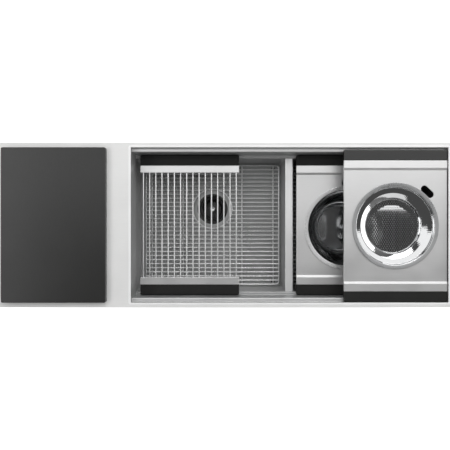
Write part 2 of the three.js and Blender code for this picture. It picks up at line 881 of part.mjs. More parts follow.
function cuttingBoard() {
  const halfX = accessoryWidth / 2 - boardEdge;
  const halfY = boardLength / 2 - boardEdge;
  const shape = roundedRectangle(-halfX, halfX, -halfY, halfY, boardCorner);
  const board = new THREE.ExtrudeGeometry(shape, {
    depth: boardThickness - 2 * boardEdge,
    bevelEnabled: true,
    bevelThickness: boardEdge,
    bevelSize: boardEdge,
    bevelSegments: 1,
    curveSegments: 4,
  });
  return board.translate(0, 0, boardEdge);
}

const board = add(sink, "cutting_board", cuttingBoard(), blackComposite);
board.position.set(openingLeft - boardFromOpening - accessoryWidth / 2, 0, deckTop + seam);

export default sink;
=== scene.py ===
"""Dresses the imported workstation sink: folded steel, wire grids, bars, handles, bowls and the studio.

Lengths are in metres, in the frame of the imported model: +X to the right, +Y to the back, +Z up, and z = 0
on the plane that lies on the worktop.
"""

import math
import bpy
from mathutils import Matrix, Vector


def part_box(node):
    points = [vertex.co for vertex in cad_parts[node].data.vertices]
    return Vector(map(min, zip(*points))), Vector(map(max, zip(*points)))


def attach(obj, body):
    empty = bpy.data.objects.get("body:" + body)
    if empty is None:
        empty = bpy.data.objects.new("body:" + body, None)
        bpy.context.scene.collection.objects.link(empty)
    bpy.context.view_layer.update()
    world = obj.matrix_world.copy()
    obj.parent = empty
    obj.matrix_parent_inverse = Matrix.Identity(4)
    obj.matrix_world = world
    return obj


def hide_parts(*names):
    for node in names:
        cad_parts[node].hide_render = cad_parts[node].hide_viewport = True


bl_info = {
    "name": "Workstation Kitchen Sink",
    "version": (1, 0, 0),
    "blender": (4, 5, 0),
    "location": "View3D > Sidebar > Sink",
    "description": "Builds the finished surfaces of a workstation kitchen sink and its accessories",
    "category": "Add Mesh",
}

import bmesh
import bpy
from bpy.props import FloatProperty, FloatVectorProperty, IntProperty, PointerProperty
from mathutils import Vector

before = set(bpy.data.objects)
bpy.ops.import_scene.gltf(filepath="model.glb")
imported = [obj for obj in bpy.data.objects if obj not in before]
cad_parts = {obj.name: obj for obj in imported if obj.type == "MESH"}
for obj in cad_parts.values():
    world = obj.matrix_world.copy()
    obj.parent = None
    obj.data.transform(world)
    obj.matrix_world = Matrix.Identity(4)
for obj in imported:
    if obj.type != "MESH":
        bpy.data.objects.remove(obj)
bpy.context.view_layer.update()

MM = 0.001


class Span:
    """The box round one or more CAD nodes, with its limits by name."""

    def __init__(self, *nodes):
        boxes = [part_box(node) for node in nodes]
        self.left, self.front, self.low = (min(low[axis] for low, high in boxes) for axis in range(3))
        self.right, self.back, self.high = (max(high[axis] for low, high in boxes) for axis in range(3))
        self.x = (self.left + self.right) / 2
        self.y = (self.front + self.back) / 2
        self.length = self.right - self.left


# ---- Sizes, colours and studio settings ------------------------------------------------------------------


def size(name, description, default):
    return FloatProperty(name=name, description=description, default=default, min=0, unit="LENGTH")


def tint(name, description, default):
    return FloatVectorProperty(name=name, description=description, default=default, size=4, min=0, max=1,
                               subtype="COLOR")


def level(name, description, default):
    return FloatProperty(name=name, description=description, default=default, min=0)


class SinkSizes(bpy.types.PropertyGroup):
    """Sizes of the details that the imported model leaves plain."""

    sheet: size("Sheet", "Thickness of the folded steel sheet", 1.5 * MM)
    bend: size("Bend", "Inner radius of the folds in the bowl walls", 1.6 * MM)
    corner: size("Bowl corner", "Radius of the welded corners of the bowls", 9 * MM)
    roll_width: size("Rolled edge width", "Width of the bright rolled edge round the opening", 6.5 * MM)
    roll_height: size("Rolled edge height", "How far the rolled edge stands above the deck", 0.5 * MM)
    upper_ledge: size("Upper ledge depth", "Upper ledge below the deck's top face", 22 * MM)
    lower_ledge: size("Lower ledge depth", "Lower ledge below the deck's top face", 95 * MM)
    upper_step: size("Upper ledge width", "Width of the upper ledge", 12.5 * MM)
    lower_step: size("Lower ledge width", "Width of the lower ledge", 10 * MM)
    crease: size("Crease", "Depth of the four creases that lead to each drain", 1.1 * MM)
    drain_hole: size("Drain hole", "Radius of the hole in each floor", 45.5 * MM)
    wire: size("Wire", "Diameter of the wire of the bottom grids", 5 * MM)
    wire_sides: IntProperty(name="Wire sides", description="Facets round each wire", default=10, min=6)
    grid_ring: size("Grid ring", "Radius of a bottom grid's ring round the drain", 69 * MM)
    rod: size("Rod", "Diameter of the rods of the drain rack", 4.2 * MM)
    rod_pitch: size("Rod pitch", "Distance between the rods of the drain rack", 20 * MM)
    rod_drop: size("Rod drop", "Axis of the rods below the top of the rack's bars", 4.5 * MM)
    bar_width: size("Bar width", "Width of the steel bars of the accessories", 23 * MM)
    bar_height: size("Bar height", "Height of the steel bars of the accessories", 12 * MM)
    plate: size("Platform plate", "Thickness of the platforms' plates", 3 * MM)
    plate_drop: size("Plate drop", "Platform plate below the top of its bars", 2 * MM)
    slope: size("Slope", "Width of the slope between a platform's bar and its plate", 8 * MM)
    flange: size("Side flange", "Height of a platform's turned down sides", 9 * MM)
    plate_hole: size("Platform hole", "Radius of the hole that carries a bowl", 122 * MM)
    slot_length: size("Finger slot length", "Length of the finger slots", 46 * MM)
    slot_width: size("Finger slot width", "Width of the finger slots", 22 * MM)
    slot_offset: size("Finger slot offset", "Finger slot outside the edge of the hole", 22 * MM)
    handle_round: size("Handle edge", "Radius of the long outer edges of a handle", 4 * MM)
    handle_corner: size("Handle corner", "Radius of the outer corners of a handle", 5 * MM)
    vessel_wall: size("Vessel wall", "Thickness of the mixing bowl and colander", 1 * MM)
    colander_floor: size("Colander floor", "Radius of the colander's floor", 85.5 * MM)
    colander_flat: size("Colander flat", "Radius of the flat middle of that floor", 66.5 * MM)
    colander_foot: size("Colander foot", "Height of the colander's upright foot", 12 * MM)
    colander_shoulder: size("Colander shoulder", "Radius where the colander's wall flattens out", 104 * MM)
    flute: size("Flute", "Height of the flutes in the colander's wall", 0.12 * MM)
    perforation: size("Perforation", "Diameter of the holes in the colander's floor", 2.8 * MM)
    perforation_pitch: size("Perforation pitch", "Distance between holes in the colander's floor", 7.4 * MM)
    board_edge: size("Board edge", "Radius of the cutting board's edges", 1.5 * MM)
    board_corner: size("Board corner", "Radius of the cutting board's corners", 5 * MM)


class SinkColours(bpy.types.PropertyGroup):
    """Colours of the finishes."""

    satin_steel: tint("Satin steel", "Deck", (0.72, 0.72, 0.715, 1))
    rolled_steel: tint("Rolled edge", "Rolled edge round the opening", (0.82, 0.82, 0.82, 1))
    # Painted shade: this near-black finish on the upright wall strips above the upper ledges stands in for
    # the shade under the deck's edge.
    shaded_steel: tint("Shaded steel", "Walls above the upper ledges", (0.09, 0.09, 0.09, 1))
    brushed_steel: tint("Brushed steel", "Walls and floors of the bowls", (0.42, 0.425, 0.425, 1))
    # Painted light: on the level faces of the ledges and of the divider's top, this lighter steel makes them
    # brighter than the upright walls of the same sheet.
    bright_steel: tint("Bright steel", "Ledges, wires, bars and the mixing bowl's rim", (0.8, 0.8, 0.8, 1))
    plate_steel: tint("Plate steel", "Plates of the platforms", (0.72, 0.72, 0.72, 1))
    polished_steel: tint("Polished steel", "Mixing bowl, colander and basket knobs", (0.62, 0.625, 0.63, 1))
    rim_steel: tint("Rim steel", "Rim of the colander", (0.48, 0.485, 0.49, 1))
    # Painted shade: this steel is darkened nearly to black to stand in for the shade in the drains.
    drain_steel: tint("Drain steel", "Strainers, baskets and tailpieces", (0.05, 0.05, 0.05, 1))
    composite: tint("Black composite", "Handles and cutting board", (0.016, 0.016, 0.0155, 1))
    black_rubber: tint("Black rubber", "Feet, seals and gaskets", (0.012, 0.012, 0.012, 1))
    grey_rubber: tint("Grey rubber", "Sound pads", (0.15, 0.155, 0.16, 1))
    zinc_steel: tint("Zinc plated steel", "Clips, studs and lock nuts", (0.42, 0.42, 0.4, 1))
    white_plastic: tint("White plastic", "Coupling nuts", (0.7, 0.7, 0.67, 1))


class SinkStudio(bpy.types.PropertyGroup):
    """Camera and light of the photograph."""

    camera_height: size("Camera height", "Camera above the deck", 1.62)
    camera_x: FloatProperty(name="Camera X", description="Camera right of the deck's centre", default=0.0308,
                            unit="LENGTH")
    view_width: size("View width", "Width of the view at the deck's top face", 1.386)
    overhead: level("Overhead", "Radiance of the softbox above the back of the sink", 1.25)
    left_fill: level("Left fill", "Radiance of the softbox high on the left", 3.0)
    back_key: level("Back key", "Radiance of the softbox behind the sink", 5.0)
    front_key: level("Front key", "Radiance of the softbox in front of the sink", 0.9)
    side_fill: level("Side fill", "Radiance of the softbox low on the right", 3.0)
    ambient: level("Ambient", "Strength of the world's light", 0.29)


# ---- Outlines --------------------------------------------------------------------------------------------


def arc(x, y, radius, start, end, steps):
    """Points of an arc, with angles in degrees."""
    turns = [math.radians(start + (end - start) * i / steps) for i in range(steps + 1)]
    return [(x + radius * math.cos(turn), y + radius * math.sin(turn)) for turn in turns]


def filleted(points, steps=4, closed=True):
    """An outline with its corners rounded: each point is (u, v) or (u, v, radius)."""
    made = []
    count = len(points)
    for i, point in enumerate(points):
        radius = point[2] if len(point) > 2 else 0
        here = Vector(point[:2])
        if radius == 0 or (not closed and i in (0, count - 1)):
            made.append(tuple(here))
            continue
        before = (Vector(points[i - 1][:2]) - here).normalized()
        after = (Vector(points[(i + 1) % count][:2]) - here).normalized()
        half = before.angle(after) / 2
        centre = here + (before + after).normalized() * (radius / math.sin(half))
        first = here + before * (radius / math.tan(half)) - centre
        last = here + after * (radius / math.tan(half)) - centre
        turn = first.angle_signed(last)
        for step in range(steps + 1):
            angle = -turn * step / steps
            cos, sin = math.cos(angle), math.sin(angle)
            made.append((centre.x + first.x * cos - first.y * sin, centre.y + first.x * sin + first.y * cos))
    return made


def thickened(points, thickness):
    """The closed section of a sheet whose middle follows an open line of points."""
    line = [Vector(point) for point in points]
    sides = []
    for i, point in enumerate(line):
        before = (point - line[i - 1]).normalized() if i > 0 else None
        after = (line[i + 1] - point).normalized() if i < len(line) - 1 else None
        along = ((before or after) + (after or before)).normalized()
        normal = Vector((-along.y, along.x))
        stretch = 1 / max(normal.dot(Vector((-(after or before).y, (after or before).x))), 0.5)
        sides.append(normal * (stretch * thickness / 2))
    left = [tuple(point + side) for point, side in zip(line, sides)]
    right = [tuple(point - side) for point, side in zip(line, sides)]
    return left + right[::-1]


def corner_path(x, y, radius, start, steps):
    """A quarter circle as (x, y, outward x, outward y), counterclockwise from an angle in degrees."""
    turns = [math.radians(start + 90 * i / steps) for i in range(steps + 1)]
    return [(x + radius * math.cos(t), y + radius * math.sin(t), math.cos(t), math.sin(t)) for t in turns]


def rectangle_path(left, right, front, back, corner, steps=6):
    """A rectangle with round corners as (x, y, outward x, outward y), counterclockwise."""
    path = corner_path(right - corner, front + corner, corner, -90, steps)
    path += corner_path(right - corner, back - corner, corner, 0, steps)
    path += corner_path(left + corner, back - corner, corner, 90, steps)
    return path + corner_path(left + corner, front + corner, corner, 180, steps)


def circle_path(x, y, radius, count):
    """A circle as (x, y, outward x, outward y), counterclockwise."""
    turns = [2 * math.pi * i / count for i in range(count)]
    return [(x + radius * math.cos(t), y + radius * math.sin(t), math.cos(t), math.sin(t)) for t in turns]


def slot_path(x, y, length, width, angle, steps=12):
    """A slot with round ends, turned by an angle, as (x, y, outward x, outward y), counterclockwise."""
    straight = (length - width) / 2
    cos, sin = math.cos(angle), math.sin(angle)
    path = []
    for side, start in ((1, -90), (-1, 90)):
        for i in range(steps + 1):
            turn = math.radians(start + 180 * i / steps)
            across, along = math.cos(turn), math.sin(turn)
            u, v = side * straight + across * width / 2, along * width / 2
            path.append((x + u * cos - v * sin, y + u * sin + v * cos,
                         across * cos - along * sin, across * sin + along * cos))
    return path


def as_hole(path):
    """The same loop as the edge of a hole: its outward side points into the hole."""
    return [(x, y, -nx, -ny) for x, y, nx, ny in path]


# ---- Meshes ----------------------------------------------------------------------------------------------


def link(obj):
    """Puts an object in the scene."""
    bpy.context.scene.collection.objects.link(obj)
    return obj


def piece_from(name, bm, material, sharp=32, recalculate=True, flat=False):
    """A finished object at the origin from a bmesh: doubles merged, faces outward, smooth up to an angle.
    With flat, its flats stay flat and only the roundings between them shade smoothly."""
    merge_distance = 1e-6
    level_normal = 0.9999
    bmesh.ops.remove_doubles(bm, verts=bm.verts, dist=merge_distance)
    if recalculate:
        bmesh.ops.recalc_face_normals(bm, faces=bm.faces)
    bm.edges.index_update()
    borders = [edge.index for edge in bm.edges
               if flat and sum(abs(face.normal.z) > level_normal for face in edge.link_faces) == 1]
    mesh = bpy.data.meshes.new(name)
    bm.to_mesh(mesh)
    bm.free()
    mesh.shade_smooth()
    mesh.set_sharp_from_angle(angle=math.radians(sharp))
    for i in borders:
        mesh.edges[i].use_edge_sharp = True
    mesh.materials.append(material)
    piece = link(bpy.data.objects.new(name, mesh))
    if flat:
        weighted = piece.modifiers.new("Flat faces", "WEIGHTED_NORMAL")
        weighted.keep_sharp = True
    return piece


def add_loops(bm, rings, close_rings=True, close_ends=False):
    """Joins rings of points, each as long as the next, with quads. close_ends joins the last to the first."""
    made = [[bm.verts.new(point) for point in ring] for ring in rings]
    pairs = list(zip(made, made[1:]))
    if close_ends:
        pairs.append((made[-1], made[0]))
    count = len(made[0])
    for low, high in pairs:
        for i in range(count if close_rings else count - 1):
            after = (i + 1) % count
            bm.faces.new((low[i], low[after], high[after], high[i]))
    return made


def add_run(bm, section, axis, start, end):
    """A closed section run straight along X, where it is (y, z), or along Y, where it is (x, z)."""
    if axis == "X":
        rings = [[(place, u, v) for u, v in section] for place in (start, end)]
    else:
        rings = [[(u, place, v) for u, v in section] for place in (start, end)]
    first, last = add_loops(bm, rings)
    bm.faces.new(first)
    bm.faces.new(last)


def add_turned(bm, profile, x, y, sides, closed=False, wave=None):
    """A profile of (radius, z) turned about an upright axis. A closed profile is a ring, an open one starts
    and ends on the axis. wave gives the radius at (radius, z, angle)."""
    rings = []
    for i in range(sides):
        turn = 2 * math.pi * i / sides
        ring = []
        for radius, z in profile:
            reach = wave(radius, z, turn) if wave else radius
            ring.append((x + reach * math.cos(turn), y + reach * math.sin(turn), z))
        rings.append(ring)
    add_loops(bm, rings, close_rings=closed, close_ends=True)


def add_swept(bm, path, section):
    """A closed section of (outward, z) carried round a closed path."""
    rings = [[(x + nx * out, y + ny * out, z) for out, z in section] for x, y, nx, ny in path]
    add_loops(bm, rings, close_ends=True)


def add_plate(bm, loops, low, high, edge, steps=3):
    """A flat plate between two heights, inside the first loop and outside the rest, with rounded edges. A
    point of a loop may carry its own edge radius as a fifth number."""
    quarter = [math.pi / 2 * i / steps for i in range(steps + 1)]
    ends = []
    for loop in loops:
        levels = []
        for top in (True, False):
            for turn in quarter if top else quarter[::-1]:
                ring = []
                for x, y, nx, ny, *own in loop:
                    radius = own[0] if own else edge
                    out = -radius * (1 - math.sin(turn))
                    drop = radius * (1 - math.cos(turn))
                    ring.append((x + nx * out, y + ny * out, high - drop if top else low + drop))
                levels.append(ring)
        made = add_loops(bm, levels)
        ends.append((made[0], made[-1]))
    for side, normal in ((0, (0, 0, 1)), (1, (0, 0, -1))):
        edges = []
        for pair in ends:
            ring = pair[side]
            edges += [bm.edges.get((ring[i - 1], ring[i])) for i in range(len(ring))]
        bmesh.ops.triangle_fill(bm, edges=edges, use_beauty=True, normal=normal)


# ---- Nodes -----------------------------------------------------------------------------------------------


def node(tree, kind, links=None, **values):
    """A node with its inputs set from values or linked from sockets, by socket name, and its own settings."""
    made = tree.nodes.new(kind)
    for key, value in values.items():
        setattr(made, key, value)
    for key, value in (links or {}).items():
        socket = made.inputs[key]
        if isinstance(value, bpy.types.NodeSocket):
            tree.links.new(value, socket)
        else:
            socket.default_value = value
    return made


def maths(tree, operation, *values):
    """The result of a Math node on sockets and numbers."""
    return node(tree, "ShaderNodeMath", dict(enumerate(values)), operation=operation).outputs[0]


def stretched(tree, vector, stretch):
    """A vector with each axis multiplied by its own factor."""
    return node(tree, "ShaderNodeVectorMath", {0: vector, 1: stretch}, operation="MULTIPLY").outputs[0]


def noise(tree, vector, scale=1.0, detail=2.0):
    """Cloudy noise near 0.5."""
    return node(tree, "ShaderNodeTexNoise", {"Vector": vector, "Scale": scale, "Detail": detail}).outputs[0]


def ranged(tree, value, from_min, from_max, to_min=0.0, to_max=1.0, **values):
    """A value carried from one range to another, and held inside it."""
    return node(tree, "ShaderNodeMapRange", {
        "Value": value,
        "From Min": from_min,
        "From Max": from_max,
        "To Min": to_min,
        "To Max": to_max,
    }, **values).outputs[0]


def joined(tree, *sources):
    """Several geometries as one."""
    join = node(tree, "GeometryNodeJoinGeometry")
    for source in sources:
        tree.links.new(source, join.inputs[0])
    return join.outputs[0]


# ---- Geometry Nodes --------------------------------------------------------------------------------------


def geometry_tree(name, inputs):
    """An empty tree with a geometry input and output and named inputs: (name, socket type, default)."""
    tree = bpy.data.node_groups.new(name, "GeometryNodeTree")
    tree.is_modifier = True
    tree.interface.new_socket("Geometry", in_out="INPUT", socket_type="NodeSocketGeometry")
    for label, kind, default in inputs:
        socket = tree.interface.new_socket(label, in_out="INPUT", socket_type=kind)
        if default is not None:
            socket.default_value = default
    tree.interface.new_socket("Geometry", in_out="OUTPUT", socket_type="NodeSocketGeometry")
    return tree, tree.nodes.new("NodeGroupInput"), tree.nodes.new("NodeGroupOutput")


def end_tree(tree, source, given, output):
    """Realizes the instances and sets the material, as every tree here ends."""
    real = node(tree, "GeometryNodeRealizeInstances", {"Geometry": source})
    painted = node(tree, "GeometryNodeSetMaterial", {
        "Geometry": real.outputs[0],
        "Material": given.outputs["Material"],
    })
    tree.links.new(painted.outputs[0], output.inputs["Geometry"])
    return tree


MATERIAL_INPUT = ("Material", "NodeSocketMaterial", None)


def round_wire_tree():
    """Round wire along every line of the base mesh, with its ends closed."""
    tree, given, output = geometry_tree("Round wire", [
        ("Radius", "NodeSocketFloat", 2.5 * MM),
        ("Sides", "NodeSocketInt", 10),
        MATERIAL_INPUT,
    ])
    lines = node(tree, "GeometryNodeMeshToCurve", {"Mesh": given.outputs["Geometry"]})
    ring = node(tree, "GeometryNodeCurvePrimitiveCircle", {
        "Resolution": given.outputs["Sides"],
        "Radius": given.outputs["Radius"],
    })
    tube = node(tree, "GeometryNodeCurveToMesh", {
        "Curve": lines.outputs[0],
        "Profile Curve": ring.outputs[0],
        "Fill Caps": True,
    })
    smooth = node(tree, "GeometryNodeSetShadeSmooth", {"Geometry": tube.outputs[0], "Shade Smooth": True})
    return end_tree(tree, smooth.outputs[0], given, output)


def copies_tree():
    """A copy of one shape at every point of the base mesh."""
    tree, given, output = geometry_tree("Copies at points", [
        ("Shape", "NodeSocketObject", None),
        MATERIAL_INPUT,
    ])
    shape = node(tree, "GeometryNodeObjectInfo", {"Object": given.outputs["Shape"]})
    copies = node(tree, "GeometryNodeInstanceOnPoints", {
        "Points": given.outputs["Geometry"],
        "Instance": shape.outputs["Geometry"],
    })
    return end_tree(tree, copies.outputs[0], given, output)


def perforated_tree():
    """A disc pierced at every point of the base mesh, with a cone that rises round its flat middle."""
    tree, given, output = geometry_tree("Perforated disc", [
        ("Radius", "NodeSocketFloat", 85 * MM),
        ("Hole Radius", "NodeSocketFloat", 1.8 * MM),
        ("Thickness", "NodeSocketFloat", 1.4 * MM),
        ("Centre", "NodeSocketVector", None),
        ("Flat Radius", "NodeSocketFloat", 66 * MM),
        ("Lift", "NodeSocketFloat", 1 * MM),
        ("Height", "NodeSocketFloat", 0.0),
        ("Rim Sides", "NodeSocketInt", 96),
        ("Hole Sides", "NodeSocketInt", 10),
        MATERIAL_INPUT,
    ])
    rim = node(tree, "GeometryNodeCurvePrimitiveCircle", {
        "Resolution": given.outputs["Rim Sides"],
        "Radius": given.outputs["Radius"],
    })
    centred = node(tree, "GeometryNodeTransform", {
        "Geometry": rim.outputs[0],
        "Translation": given.outputs["Centre"],
    })
    hole = node(tree, "GeometryNodeCurvePrimitiveCircle", {
        "Resolution": given.outputs["Hole Sides"],
        "Radius": given.outputs["Hole Radius"],
    })
    holes = node(tree, "GeometryNodeInstanceOnPoints", {
        "Points": given.outputs["Geometry"],
        "Instance": hole.outputs[0],
    })
    real = node(tree, "GeometryNodeRealizeInstances", {"Geometry": holes.outputs[0]})
    outlines = joined(tree, centred.outputs[0], real.outputs[0])
    filled = node(tree, "GeometryNodeFillCurve", {"Curve": outlines})
    thick = node(tree, "GeometryNodeExtrudeMesh", {
        "Mesh": filled.outputs[0],
        "Offset Scale": given.outputs["Thickness"],
        "Individual": False,
    })
    under = node(tree, "GeometryNodeFlipFaces", {"Mesh": filled.outputs[0]})
    closed = joined(tree, thick.outputs["Mesh"], under.outputs[0])
    merged = node(tree, "GeometryNodeMergeByDistance", {"Geometry": closed, "Distance": 0.01 * MM})

    place = node(tree, "GeometryNodeInputPosition")
    level_place = stretched(tree, place.outputs[0], (1, 1, 0))
    away = node(tree, "ShaderNodeVectorMath", {0: level_place, 1: given.outputs["Centre"]},
                operation="DISTANCE")
    share = ranged(tree, away.outputs["Value"], given.outputs["Flat Radius"], given.outputs["Radius"])
    raised = maths(tree, "MULTIPLY_ADD", share, given.outputs["Lift"], given.outputs["Height"])
    shift = node(tree, "ShaderNodeCombineXYZ", {"Z": raised})
    dished = node(tree, "GeometryNodeSetPosition", {
        "Geometry": merged.outputs[0],
        "Offset": shift.outputs[0],
    })
    return end_tree(tree, dished.outputs[0], given, output)


# ---- Shader groups ---------------------------------------------------------------------------------------


def shader_group(name, inputs, outputs):
    """An empty group of shader nodes with named inputs (name, type, default) and outputs (name, type)."""
    group = bpy.data.node_groups.new(name, "ShaderNodeTree")
    for label, kind, default in inputs:
        group.interface.new_socket(label, in_out="INPUT", socket_type=kind).default_value = default
    for label, kind in outputs:
        group.interface.new_socket(label, in_out="OUTPUT", socket_type=kind)
    return group, group.nodes.new("NodeGroupInput"), group.nodes.new("NodeGroupOutput")


def add_tone(group, value, low, high, change):
    """A tone that goes from 1 - change to 1 + change as a value goes from low to high."""
    darkest = maths(group, "SUBTRACT", 1.0, change)
    lightest = maths(group, "ADD", 1.0, change)
    return ranged(group, value, low, high, darkest, lightest)


def brushed_grain():
    """Fine parallel scratches: streaks along one axis, with broad patches where the belt bit deeper."""
    patch_scale = 9.0
    group, given, output = shader_group("Brushed grain", [
        ("Vector", "NodeSocketVector", (0, 0, 0)),
        ("Stretch", "NodeSocketVector", (30, 2500, 2500)),
        ("Low Roughness", "NodeSocketFloat", 0.3),
        ("High Roughness", "NodeSocketFloat", 0.4),
        ("Tone Change", "NodeSocketFloat", 0.06),
    ], [("Roughness", "NodeSocketFloat"), ("Height", "NodeSocketFloat"), ("Tone", "NodeSocketFloat")])
    streaks = noise(group, stretched(group, given.outputs["Vector"], given.outputs["Stretch"]), detail=3.0)
    patches = noise(group, given.outputs["Vector"], patch_scale)
    blend = maths(group, "ADD", streaks, patches)
    low, high = 0.7, 1.3
    rough = ranged(group, blend, low, high, given.outputs["Low Roughness"], given.outputs["High Roughness"])
    tone = add_tone(group, blend, low, high, given.outputs["Tone Change"])
    group.links.new(rough, output.inputs["Roughness"])
    group.links.new(streaks, output.inputs["Height"])
    group.links.new(tone, output.inputs["Tone"])
    return group


def edge_wear():
    """A mask that is 1 on worn outer edges and 0 on the faces between them."""
    group, given, output = shader_group("Edge wear", [
        ("Vector", "NodeSocketVector", (0, 0, 0)),
        ("Width", "NodeSocketFloat", 1 * MM),
        ("Break Up", "NodeSocketFloat", 120.0),
    ], [("Mask", "NodeSocketFloat")])
    rounded = node(group, "ShaderNodeBevel", {"Radius": given.outputs["Width"]}, samples=4)
    surface = node(group, "ShaderNodeNewGeometry")
    likeness = node(group, "ShaderNodeVectorMath", {0: rounded.outputs[0], 1: surface.outputs["Normal"]},
                    operation="DOT_PRODUCT")
    bare = 0.93
    covered = 0.995
    edge = ranged(group, likeness.outputs["Value"], covered, bare)
    chips = noise(group, given.outputs["Vector"], given.outputs["Break Up"])
    kept = ranged(group, chips, from_min=0.35, from_max=0.65)
    group.links.new(maths(group, "MULTIPLY", edge, kept), output.inputs["Mask"])
    return group


def dry_marks():
    """A faint ragged film of dried water, as a mask."""
    group, given, output = shader_group("Dry marks", [
        ("Vector", "NodeSocketVector", (0, 0, 0)),
        ("Scale", "NodeSocketFloat", 14.0),
        ("Amount", "NodeSocketFloat", 0.3),
    ], [("Mask", "NodeSocketFloat")])
    clouds = noise(group, given.outputs["Vector"], given.outputs["Scale"], detail=3.0)
    film = ranged(group, clouds, from_min=0.5, from_max=0.75)
    group.links.new(maths(group, "MULTIPLY", film, given.outputs["Amount"]), output.inputs["Mask"])
    return group


def pressed_fibre():
    """Fibres and specks of a pressed composite: its tone and its relief."""
    speck_scale = 900.0
    group, given, output = shader_group("Pressed fibre", [
        ("Vector", "NodeSocketVector", (0, 0, 0)),
        ("Stretch", "NodeSocketVector", (60, 420, 420)),
        ("Tone Change", "NodeSocketFloat", 0.2),
    ], [("Tone", "NodeSocketFloat"), ("Height", "NodeSocketFloat")])
    fibres = noise(group, stretched(group, given.outputs["Vector"], given.outputs["Stretch"]), detail=4.0)
    specks = node(group, "ShaderNodeTexVoronoi", {"Vector": given.outputs["Vector"], "Scale": speck_scale})
    speck_tone = ranged(group, specks.outputs["Distance"], from_min=0.0, from_max=0.7)
    both = maths(group, "ADD", fibres, speck_tone)
    low, high = 0.5, 1.5
    tone = add_tone(group, both, low, high, given.outputs["Tone Change"])
    group.links.new(tone, output.inputs["Tone"])
    group.links.new(both, output.inputs["Height"])
    return group


GROUP_MAKERS = {
    "Round wire": round_wire_tree,
    "Copies at points": copies_tree,
    "Perforated disc": perforated_tree,
    "Brushed grain": brushed_grain,
    "Edge wear": edge_wear,
    "Dry marks": dry_marks,
    "Pressed fibre": pressed_fibre,
}


def shared_group(name):
    """A node group by its name, built when a piece or a material first needs it."""
    return bpy.data.node_groups.get(name) or GROUP_MAKERS[name]()


# ---- Finishes --------------------------------------------------------------------------------------------


def placed_group(tree, name, place, **values):
    """A shared group in a material, with its own values."""
    made = node(tree, "ShaderNodeGroup", node_tree=shared_group(name))
    tree.links.new(place, made.inputs["Vector"])
    for label, value in values.items():
        made.inputs[label.replace("_", " ")].default_value = value
    return made


def new_material(name, metallic=0.0, roughness=0.5):
    """A new material, with its node tree, its shader and the socket that gives a point's place."""
    material = bpy.data.materials.new(name)
    material.use_nodes = True
    tree = material.node_tree
    shader = next(n for n in tree.nodes if n.type == "BSDF_PRINCIPLED")
    shader.inputs["Metallic"].default_value = metallic
    shader.inputs["Roughness"].default_value = roughness
    place = tree.nodes.new("ShaderNodeTexCoord").outputs["Object"]
    return material, tree, shader, place


def toned(tree, colour, tone):
    """The colour made lighter and darker by a tone near 1."""
    scaled = node(tree, "ShaderNodeVectorMath", {0: colour[:3]}, operation="SCALE")
    tree.links.new(tone, scaled.inputs["Scale"])
    return scaled.outputs[0]


def mixed(tree, mask, below, above):
    """One colour over another where the mask is 1. Either colour is a socket or a plain colour."""
    mix = node(tree, "ShaderNodeMix", data_type="RGBA")
    colours = [socket for socket in mix.inputs if socket.type == "RGBA"]
    tree.links.new(mask, mix.inputs[0])
    for socket, value in zip(colours, (below, above)):
        if isinstance(value, bpy.types.NodeSocket):
            tree.links.new(value, socket)
        else:
            socket.default_value = value
    return next(socket for socket in mix.outputs if socket.type == "RGBA")


def relief(tree, shader, height, distance):
    """Bumps on a surface, as high as a distance."""
    bump = node(tree, "ShaderNodeBump", {"Height": height, "Distance": distance, "Strength": 1.0})
    tree.links.new(bump.outputs[0], shader.inputs["Normal"])


ALONG_X = (24, 2600, 2600)
ALL_WAYS = (700, 700, 700)
FIBRES_ALONG_X = (60, 420, 420)
FIBRES_ALONG_Y = (420, 60, 420)
DRIED_WATER = (0.75, 0.75, 0.73, 1)
WORN_STEEL = (0.85, 0.85, 0.85, 1)
WORN_COMPOSITE = (0.06, 0.06, 0.058, 1)


def steel(name, colour, roughness, stretch=ALONG_X, shine=1.0, depth=0.02 * MM, spread=0.06, tone=0.04,
          marks=0.08, worn=0.0):
    """Ground or polished steel with its grain along one axis, faint dried water and, to a width, brighter
    worn edges. A fine matt grind scatters light, which a lower shine gives."""
    film_roughness = 0.4
    material, tree, shader, place = new_material(name, metallic=shine)
    grain = placed_group(tree, "Brushed grain", place, Stretch=stretch, Low_Roughness=roughness - spread,
                         High_Roughness=roughness + spread, Tone_Change=tone)
    film = placed_group(tree, "Dry marks", place, Amount=marks)
    base = mixed(tree, film.outputs["Mask"], toned(tree, colour, grain.outputs["Tone"]), DRIED_WATER)
    if worn:
        edge = placed_group(tree, "Edge wear", place, Width=worn)
        base = mixed(tree, edge.outputs["Mask"], base, WORN_STEEL)
    tree.links.new(base, shader.inputs["Base Color"])
    rough = maths(tree, "MULTIPLY_ADD", film.outputs["Mask"], film_roughness, grain.outputs["Roughness"])
    tree.links.new(rough, shader.inputs["Roughness"])
    relief(tree, shader, grain.outputs["Height"], depth)
    return material


def composite(name, colour, roughness, stretch=FIBRES_ALONG_X, gloss=0.5):
    """Pressed black composite: fibres, specks and edges that have gone a little lighter."""
    film_roughness = 0.8
    material, tree, shader, place = new_material(name)
    shader.inputs["Specular IOR Level"].default_value = gloss
    fibre = placed_group(tree, "Pressed fibre", place, Stretch=stretch)
    film = placed_group(tree, "Dry marks", place, Amount=0.1, Scale=7.0)
    edge = placed_group(tree, "Edge wear", place, Width=1.2 * MM)
    base = mixed(tree, edge.outputs["Mask"], toned(tree, colour, fibre.outputs["Tone"]), WORN_COMPOSITE)
    tree.links.new(base, shader.inputs["Base Color"])
    rough = maths(tree, "MULTIPLY_ADD", film.outputs["Mask"], film_roughness, roughness)
    tree.links.new(rough, shader.inputs["Roughness"])
    relief(tree, shader, fibre.outputs["Height"], 0.02 * MM)
    return material


